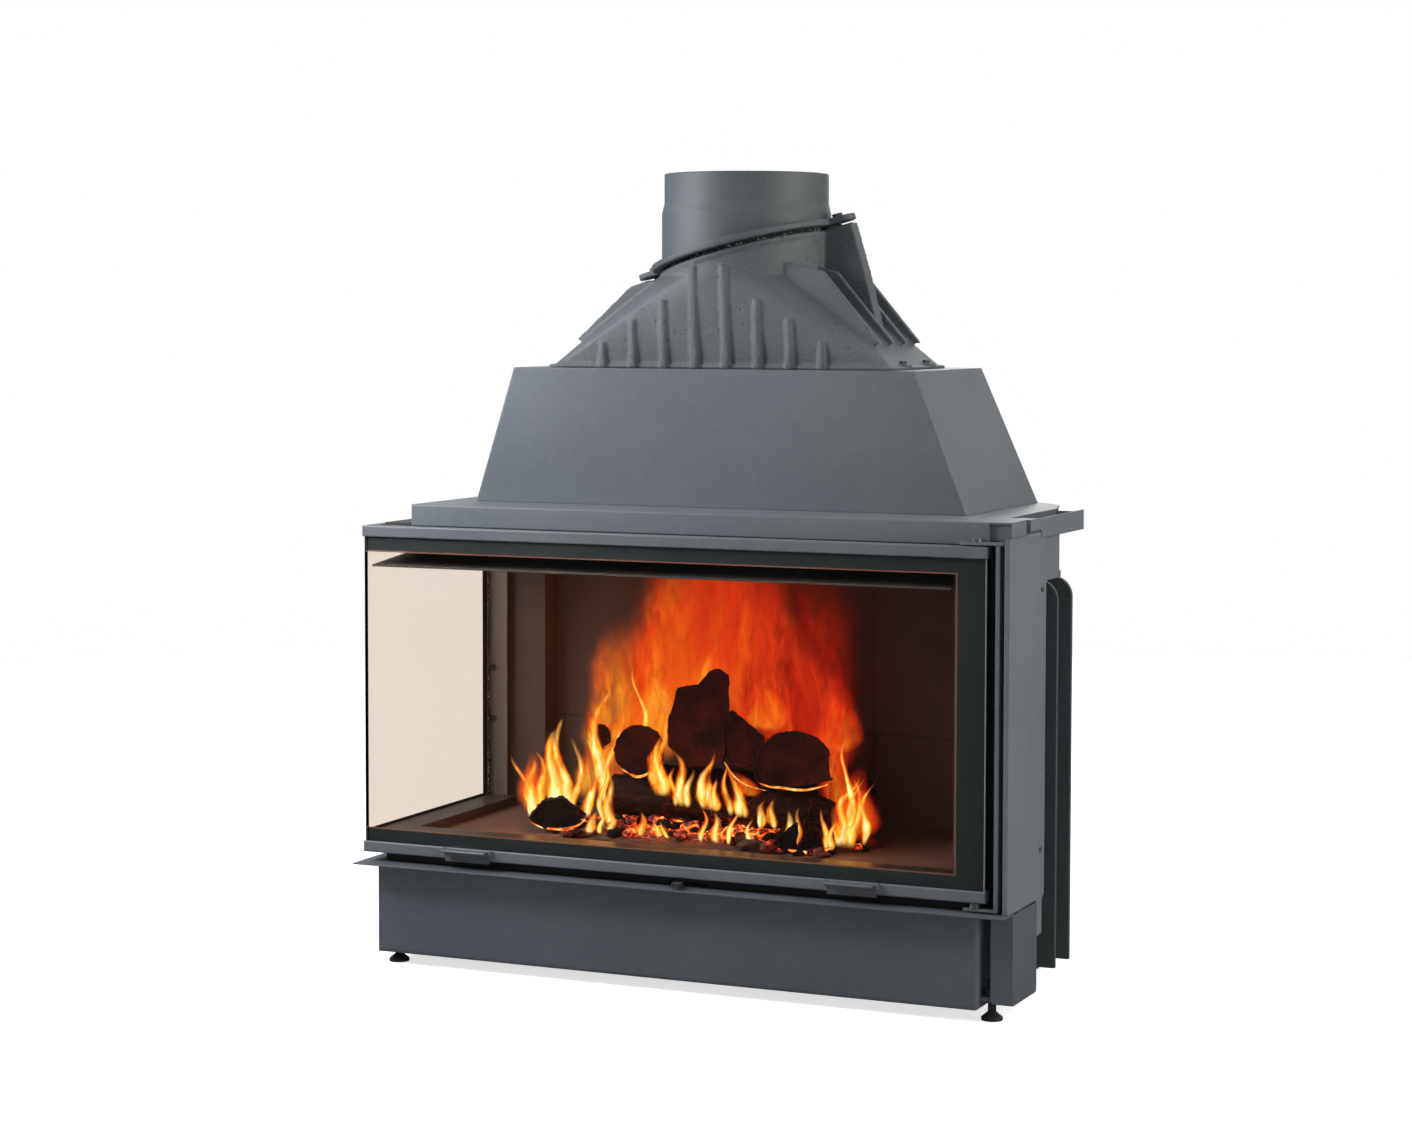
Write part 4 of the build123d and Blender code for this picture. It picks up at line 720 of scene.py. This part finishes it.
burning_log("char_left", [(-46, -6), (-24, 22), (6, 26), (44, 2), (22, -20), (-22, -20)],
            (246, 176, 218), (212, 254, 214), 8, 6.0, (coal, coal))
burning_log("char_right", [(-46, -8), (-16, 22), (20, 24), (46, 8), (44, -18), (-28, -20)],
            (660, 166, 214), (628, 240, 212), 9, 6.0, (coal, coal))
burning_log("char_right_rear", [(-20, -22), (-22, 10), (-6, 26), (14, 22), (22, -4), (18, -24)],
            (682, 190, 244), (654, 256, 240), 10, 3.0, (coal, coal))


# Embers
# A low oval bed of glowing charcoal and ash on the hearth slab under the logs.
# Loose lumps lie over its front, every other one of them gone out.

hearth = 190
bed_middle = (466, 272)
bed_size = (566, 292)
bed_height = 16
lump_height = 9
lump_width = 19
hollow_width = 33

ember_skin, tree, output = empty_material("glowing_embers")
place = node(tree, "TexCoord").outputs["Object"]
lumps = node(tree, "TexVoronoi", {"Vector": place, "Scale": 62.0}, feature="DISTANCE_TO_EDGE")
small = cloud(tree, place, 150.0, 5.0, 0.7)
broad = cloud(tree, place, 17.0, 4.0, distortion=0.6)
seam = remap(tree, lumps.outputs["Distance"], 0.0, 0.16, 0.62, 0.05)
hot = remap(tree, broad, 0.40, 0.58)
flicker = remap(tree, small, 0.35, 0.7, -0.3, 0.62)
body = maths(tree, "ADD", seam, flicker)
height = node(tree, "SeparateXYZ", {0: place}).outputs["Z"]
above_slab = remap(tree, height, 0.193, 0.207)
spotty = maths(tree, "MULTIPLY", body, hot)
heat = maths(tree, "MULTIPLY", spotty, above_slab, clamp=True)
ramp = node(tree, "ValToRGB", {0: heat})
set_ramp(ramp, ((0.0, (0.004, 0.0, 0.0)), (0.15, (0.10, 0.004, 0.001)), (0.36, (0.75, 0.06, 0.008)),
                (0.6, (1.0, 0.30, 0.03)), (0.9, (1.0, 0.66, 0.16))))
ash = between(tree, small, tone(16, 11, 9), tone(70, 52, 44))
bump = node(tree, "Bump", {"Strength": 0.8, "Distance": 0.002, "Height": small})
shader = node(tree, "BsdfPrincipled", {
    "Base Color": ash, "Roughness": 0.9, "Normal": bump.outputs[0], "Emission Color": ramp.outputs[0],
    "Emission Strength": 1.9})
tree.links.new(shader.outputs[0], output.inputs[0])


def bed_rise(x, y):
    """Height of the ember bed over the hearth, in millimetres."""
    reach = math.hypot((x - bed_middle[0]) / (bed_size[0] / 2), (y - bed_middle[1]) / (bed_size[1] / 2))
    swell = max(0.0, 1 - reach ** 3.0)
    nearest, second = noise.voronoi(Vector((x / lump_width, y / lump_width, 0.3)))[0][:2]
    lump = lump_height * min(1.0, (second - nearest) * 1.6)
    hollow = 0.6 + noise.noise(Vector((x / hollow_width, y / hollow_width, 4)))
    return 0.3 + swell * (bed_height + lump * hollow)


pick()
bpy.ops.mesh.primitive_grid_add(x_subdivisions=150, y_subdivisions=76, size=1)
bed = bpy.context.object
for vertex in bed.data.vertices:
    x = bed_middle[0] + vertex.co.x * bed_size[0]
    y = bed_middle[1] + vertex.co.y * bed_size[1]
    vertex.co = spot(x, y, hearth + bed_rise(x, y))
bpy.ops.object.mode_set(mode="EDIT")
bpy.ops.mesh.select_mode(type="FACE")
bpy.ops.mesh.select_all(action="DESELECT")
form = bmesh.from_edit_mesh(bed.data)
for face in form.faces:
    middle = face.calc_center_median()
    x = middle.x / MM + MIDDLE_X - bed_middle[0]
    y = middle.y / MM + MIDDLE_Y - bed_middle[1]
    ragged = 0.05 * noise.noise(middle * 40)
    face.select_set(math.hypot(2 * x / bed_size[0], 2 * y / bed_size[1]) > 1.0 + ragged)
bmesh.update_edit_mesh(bed.data)
bpy.ops.mesh.delete(type="FACE")
bpy.ops.object.mode_set(mode="OBJECT")
keep_active(bed, "ember_bed", ember_skin)
bpy.ops.object.shade_smooth()
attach(bed, "root")


def joined(name, parts, material):
    """Many parts of one kind as one piece."""
    pick(*parts)
    bpy.ops.object.join()
    keep_active(bpy.context.object, name, material)
    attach(bpy.context.object, "root")


lump_random = random.Random(11)
lumps_made = []
for number in range(96):
    x = lump_random.uniform(235, 735)
    y = lump_random.uniform(152, 235)
    size = lump_random.uniform(5, 14)
    pick()
    bpy.ops.mesh.primitive_ico_sphere_add(subdivisions=2, radius=size)
    lump = bpy.context.object
    stretch = Vector((lump_random.uniform(0.8, 1.7), lump_random.uniform(0.7, 1.2),
                      lump_random.uniform(0.5, 0.9)))
    spin = Matrix.Rotation(lump_random.uniform(0, math.pi), 3, "Z")
    for vertex in lump.data.vertices:
        jag = 1 + 0.45 * noise.noise(vertex.co / size * 1.6 + Vector((number, 0, 0)))
        point = spin @ (vertex.co * stretch) * jag
        vertex.co = spot(x + point.x, y + point.y, hearth + bed_rise(x, y) + size * 0.35 + point.z)
    lumps_made.append(lump)
for name, first, finish in (("ember_lumps", 0, ember_skin), ("charcoal_lumps", 1, coal)):
    joined(name, lumps_made[first::2], finish)
    bpy.ops.object.shade_smooth_by_angle(angle=math.radians(35))


# Flames
# Burning gas in four heats, from dark red at the back of the firebox to yellow over the front logs.
# It is shown as thin glowing sheets that rise from the wood, sway, turn and fade at their edges.

def tent(group, value):
    """1 in the middle of 0 to 1, falling to 0 at both ends."""
    doubled = maths(group, "MULTIPLY_ADD", value, 2.0, -1.0)
    size = maths(group, "ABSOLUTE", doubled)
    return maths(group, "SUBTRACT", 1.0, size)


def flame_group():
    """Fire on a sheet: hot in its middle and at its foot, torn by rising streaks, faded at its rim."""
    group, given, out = new_group(
        "flame", {label: "Float" for label in (
            "Heat", "Core", "Fall", "Streak", "Cool", "Density", "Scale", "Tear")},
        {"Color": "Color", "Alpha": "Float"})
    soft = {"interpolation_type": "SMOOTHSTEP"}
    across_up = node(group, "SeparateXYZ", {0: node(group, "UVMap").outputs[0]})
    across = across_up.outputs["X"]
    up = across_up.outputs["Y"]
    place = node(group, "TexCoord").outputs["Object"]
    drawn = node(group, "VectorMath", {0: place, 1: (1.0, 1.0, 0.36)}, operation="MULTIPLY").outputs[0]
    lick = cloud(group, drawn, given["Scale"], 4.0, 0.55, 1.1)
    streak = cloud(group, drawn, 62.0, 3.0, distortion=0.7)
    wander = maths(group, "SUBTRACT", lick, 0.5)
    pull = maths(group, "MULTIPLY", wander, given["Tear"])
    middle = tent(group, maths(group, "ADD", across, pull))
    rim = remap(group, tent(group, across), 0.0, 0.45, **soft)
    body = remap(group, middle, 0.05, 0.7, **soft)
    foot = remap(group, up, 0.0, 0.14, **soft)
    tip_edge = maths(group, "ADD", pull, up)
    tip = remap(group, tip_edge, 0.5, 0.95, 1.0, 0.0, **soft)
    end = remap(group, up, 0.86, 1.0, 1.0, 0.0)
    torn = remap(group, streak, 0.3, 0.62, 0.45, 1.0)
    opacity = given["Density"]
    for factor in (rim, body, foot, tip, end, torn):
        opacity = maths(group, "MULTIPLY", opacity, factor, clamp=True)
    aside = node(group, "SeparateXYZ", {0: place}).outputs["X"]
    cooled = maths(group, "MULTIPLY", aside, given["Cool"])
    start = maths(group, "SUBTRACT", given["Heat"], cooled)
    warmth = maths(group, "MULTIPLY_ADD", middle, given["Core"], start)
    lost = maths(group, "MULTIPLY", up, given["Fall"])
    kept = maths(group, "SUBTRACT", warmth, lost)
    mottled = maths(group, "MULTIPLY_ADD", wander, 0.7, kept)
    fine = maths(group, "SUBTRACT", streak, 0.5)
    heat = maths(group, "MULTIPLY_ADD", fine, given["Streak"], mottled, clamp=True)
    ramp = node(group, "ValToRGB", {0: heat})
    set_ramp(ramp, ((0.0, (0.06, 0.001, 0.0)), (0.22, (0.42, 0.010, 0.003)), (0.42, (0.80, 0.045, 0.006)),
                    (0.6, (0.95, 0.17, 0.010)), (0.76, (1.0, 0.43, 0.030)), (0.9, (1.0, 0.68, 0.11)),
                    (1.0, (1.0, 0.86, 0.42))))
    put_out(group, out, Color=ramp.outputs[0], Alpha=opacity)
    return group


flame = flame_group()


def flame_skin(name, strength, **values):
    """The light of one sort of flame."""
    material, tree, output = empty_material(name)
    grouped = node(tree, "Group", node_tree=flame)
    for label, value in values.items():
        grouped.inputs[label].default_value = value
    shader = node(tree, "BsdfPrincipled", {
        "Base Color": (0, 0, 0, 1), "Roughness": 1.0, "Specular IOR Level": 0.0,
        "Emission Color": grouped.outputs["Color"], "Emission Strength": strength,
        "Alpha": grouped.outputs["Alpha"]})
    tree.links.new(shader.outputs[0], output.inputs[0])
    material.cycles.emission_sampling = "NONE"
    return material


def tongue(foot, height, width, lean, turn, sway, narrow, seed):
    """One flame: a sheet that rises from its foot, leans, sways and turns about its length."""
    pick()
    bpy.ops.mesh.primitive_grid_add(x_subdivisions=10, y_subdivisions=30, size=1)
    sheet = bpy.context.object
    drift = random.Random(seed)
    phase = drift.uniform(0, 2 * math.pi)
    facing = drift.uniform(-0.5, 0.5)
    waves = drift.uniform(4.5, 8.5)
    for vertex in sheet.data.vertices:
        across = vertex.co.x
        up = vertex.co.y + 0.5
        swell = min(1.0, 0.35 + up / 0.34) * (1 - narrow * up ** 1.1)
        heading = facing + turn * (up - 0.35)
        bow = 0.35 * width * (0.25 - across ** 2) * swell
        reach = across * width * swell
        roll = math.sin(phase + up * waves) * sway * up ** 0.8
        x = foot[0] + lean * up ** 1.4 + roll + reach * math.cos(heading) + bow * math.sin(heading)
        y = foot[1] + 0.5 * math.cos(phase + up * 4.1) * sway * up + reach * math.sin(heading) \
            - bow * math.cos(heading)
        vertex.co = spot(x, y, foot[2] + height * up)
    return sheet


def fan(places, widths, turn, sway, narrow, seed):
    """Several flames from each place, no two alike.

    A place is (x, y, z, height, lean, spread, count), in millimetres.
    """
    shape = random.Random(seed)
    sheets = []
    for x, y, z, height, lean, spread, count in places:
        for number in range(count):
            share = 2 * (number + shape.uniform(0.2, 0.8)) / count - 1
            foot = (x + spread * share, y + shape.uniform(-7, 7), z)
            tall = height * shape.uniform(0.5, 1.0)
            wide = shape.uniform(*widths) * min(1.0, 0.4 + tall / 150)
            sheets.append(tongue(foot, tall, wide, lean + shape.uniform(-14, 14), shape.uniform(-turn, turn),
                                 sway * tall / 100, narrow, 100 * seed + len(sheets)))
    return sheets


def joined_flames(name, sheets, material):
    """All the flames of one sort as one smooth piece."""
    joined(name, sheets, material)
    bpy.ops.object.shade_smooth()


dark_fire = flame_skin("dark_flame", 1.0, Heat=0.16, Core=0.12, Fall=0.06, Streak=0.10, Cool=0.2,
                       Density=0.7, Scale=6.0, Tear=0.6)
red_fire = flame_skin("red_flame", 1.0, Heat=0.38, Core=0.12, Fall=0.12, Streak=0.14, Cool=0.75,
                      Density=0.95, Scale=7.0, Tear=0.4)
orange_fire = flame_skin("orange_flame", 1.15, Heat=0.43, Core=0.34, Fall=0.26, Streak=0.30, Cool=0.25,
                         Density=0.75, Scale=11.0, Tear=0.7)
yellow_fire = flame_skin("yellow_flame", 1.5, Heat=0.44, Core=0.68, Fall=0.28, Streak=0.6, Cool=0.0,
                         Density=1.0, Scale=26.0, Tear=0.9)

joined_flames("flames_dark", [
    tongue((606, 356, 300), 350, 200, -10, 0.3, 16, 0.3, 11),
    tongue((330, 358, 300), 360, 180, 50, -0.3, 16, 0.3, 12)], dark_fire)
joined_flames("flames_red", [
    tongue((262, 340, 262), 270, 180, 40, 0.3, 16, 0.45, 20),
    tongue((372, 352, 290), 400, 250, 50, -0.2, 18, 0.25, 21),
    tongue((460, 348, 300), 400, 250, 20, 0.3, 16, 0.25, 22),
    tongue((556, 352, 300), 370, 220, -50, -0.3, 18, 0.4, 23),
    tongue((430, 312, 340), 330, 200, 10, 0.2, 14, 0.3, 25),
    tongue((640, 344, 280), 230, 170, -50, 0.3, 14, 0.5, 26)], red_fire)
joined_flames("flames_orange", fan((
    (190, 222, 206, 160, 2, 14, 2), (262, 284, 226, 290, 36, 26, 2), (350, 292, 290, 300, 14, 34, 2),
    (430, 300, 330, 210, 10, 20, 1), (545, 300, 350, 150, -10, 26, 2), (650, 292, 320, 170, 10, 30, 2),
    (712, 236, 206, 220, -10, 18, 2), (550, 208, 262, 80, -40, 12, 1)),
    (80, 130), 1.0, 9, 0.72, 4), orange_fire)
joined_flames("flames_yellow", fan((
    (196, 198, 204, 150, -12, 20, 3), (228, 214, 204, 200, 8, 18, 3), (264, 206, 210, 160, 10, 18, 2),
    (300, 226, 226, 240, 26, 12, 2), (326, 186, 204, 150, -4, 10, 2), (354, 244, 300, 200, 0, 10, 1),
    (412, 190, 256, 140, 2, 12, 3), (450, 192, 242, 100, -6, 16, 3), (494, 190, 240, 100, 6, 20, 3),
    (546, 184, 234, 96, -10, 22, 3), (596, 176, 222, 86, 8, 18, 2), (640, 158, 200, 66, 4, 26, 2),
    (716, 186, 200, 210, 12, 14, 3), (732, 200, 202, 160, 4, 12, 2), (700, 166, 198, 90, 12, 12, 2),
    (330, 158, 198, 60, 6, 30, 3), (420, 156, 198, 50, -4, 40, 3), (540, 150, 198, 60, 4, 46, 4)),
    (22, 58), 1.4, 11, 0.9, 6), yellow_fire)


# Glowing edges
# Where a log lies on the fire its lower edge burns as a bright crooked line.
# Each line is thin at both ends and lies on the wood.

edge_fire, tree, output = empty_material("glowing_edge")
beads = cloud(tree, node(tree, "TexCoord").outputs["Object"], 70.0, 3.0)
heat = remap(tree, beads, 0.32, 0.66)
ramp = node(tree, "ValToRGB", {0: heat})
set_ramp(ramp, ((0.0, (0.45, 0.02, 0.004)), (0.35, (1.0, 0.22, 0.02)), (0.7, (1.0, 0.62, 0.12)),
                (1.0, (1.0, 0.88, 0.5))))
shader = node(tree, "BsdfPrincipled", {
    "Base Color": tone(20, 10, 6), "Roughness": 0.9, "Emission Color": ramp.outputs[0],
    "Emission Strength": 1.2})
tree.links.new(shader.outputs[0], output.inputs[0])
edge_fire.cycles.emission_sampling = "NONE"


def glowing_edge(points, thick):
    """A crooked line of fire through the given points, thinning to nothing at both ends."""
    line = bpy.data.curves.new("glow", "CURVE")
    line.dimensions = "3D"
    line.bevel_depth = thick * MM
    line.bevel_resolution = 2
    line.resolution_u = 8
    spline = line.splines.new("NURBS")
    spline.points.add(len(points) - 1)
    for number, point in enumerate(points):
        spline.points[number].co = (*spot(*point), 1)
        spline.points[number].radius = 0.25 + 0.9 * math.sin(math.pi * (number + 0.3) / (len(points) - 0.4))
    spline.order_u = 3
    spline.use_endpoint_u = True
    holder = bpy.data.objects.new("glow", line)
    bpy.context.scene.collection.objects.link(holder)
    pick(holder)
    bpy.ops.object.convert(target="MESH")
    return bpy.context.object


def arc_points(middle, radius, first, last, depth, seed):
    """Uneven points on the lower edge of a round log end, between two angles."""
    jitter = random.Random(seed)
    made = []
    for step in range(13):
        angle = math.radians(first + (last - first) * step / 12)
        reach = radius + jitter.uniform(-1.5, 2.5)
        made.append((middle[0] + reach * math.cos(angle), depth + jitter.uniform(-2, 2),
                     middle[1] + reach * math.sin(angle)))
    return made


joined_flames("glowing_edges", [
    glowing_edge(arc_points((372, 324), 39, 196, 352, 197, 1), 1.9),
    glowing_edge(arc_points((274, 331), 20, 200, 330, 259, 2), 1.2),
    glowing_edge([(572, 196, 288), (590, 195, 282), (612, 194, 283), (640, 195, 280), (664, 194, 284),
                  (686, 195, 292)], 1.7),
    glowing_edge([(202, 172, 204), (214, 170, 199), (236, 169, 197), (262, 170, 198), (288, 173, 208),
                  (292, 176, 216)], 1.7),
    glowing_edge([(618, 160, 200), (640, 158, 195), (668, 158, 194), (694, 160, 196), (708, 163, 206)], 2.2),
    glowing_edge([(504, 226, 310), (516, 222, 296), (536, 212, 284), (560, 204, 278), (584, 198, 276)], 1.2)],
    edge_fire)


# Light of the fire
# Five small warm lamps stand in the flames and light the lining, the logs and the sills.
# Only what they light is seen, not the lamps.

def fire_lamp(name, place, power, radius, colour):
    """One lamp in the flames, unseen itself."""
    lamp = bpy.data.lights.new(name, "POINT")
    lamp.energy = power
    lamp.color = colour
    lamp.shadow_soft_size = radius
    holder = bpy.data.objects.new(name, lamp)
    holder.location = spot(*place)
    holder.visible_camera = False
    holder.visible_glossy = False
    holder.visible_transmission = False
    bpy.context.scene.collection.objects.link(holder)


fire_lamp("fire_left", (250, 170, 290), 0.9, 0.05, (1.0, 0.36, 0.10))
fire_lamp("fire_middle", (470, 160, 270), 0.9, 0.06, (1.0, 0.30, 0.07))
fire_lamp("fire_right", (710, 170, 280), 0.5, 0.05, (1.0, 0.36, 0.10))
fire_lamp("fire_upper", (470, 260, 520), 1.2, 0.09, (1.0, 0.16, 0.04))
fire_lamp("fire_behind", (300, 300, 480), 1.5, 0.07, (1.0, 0.38, 0.12))
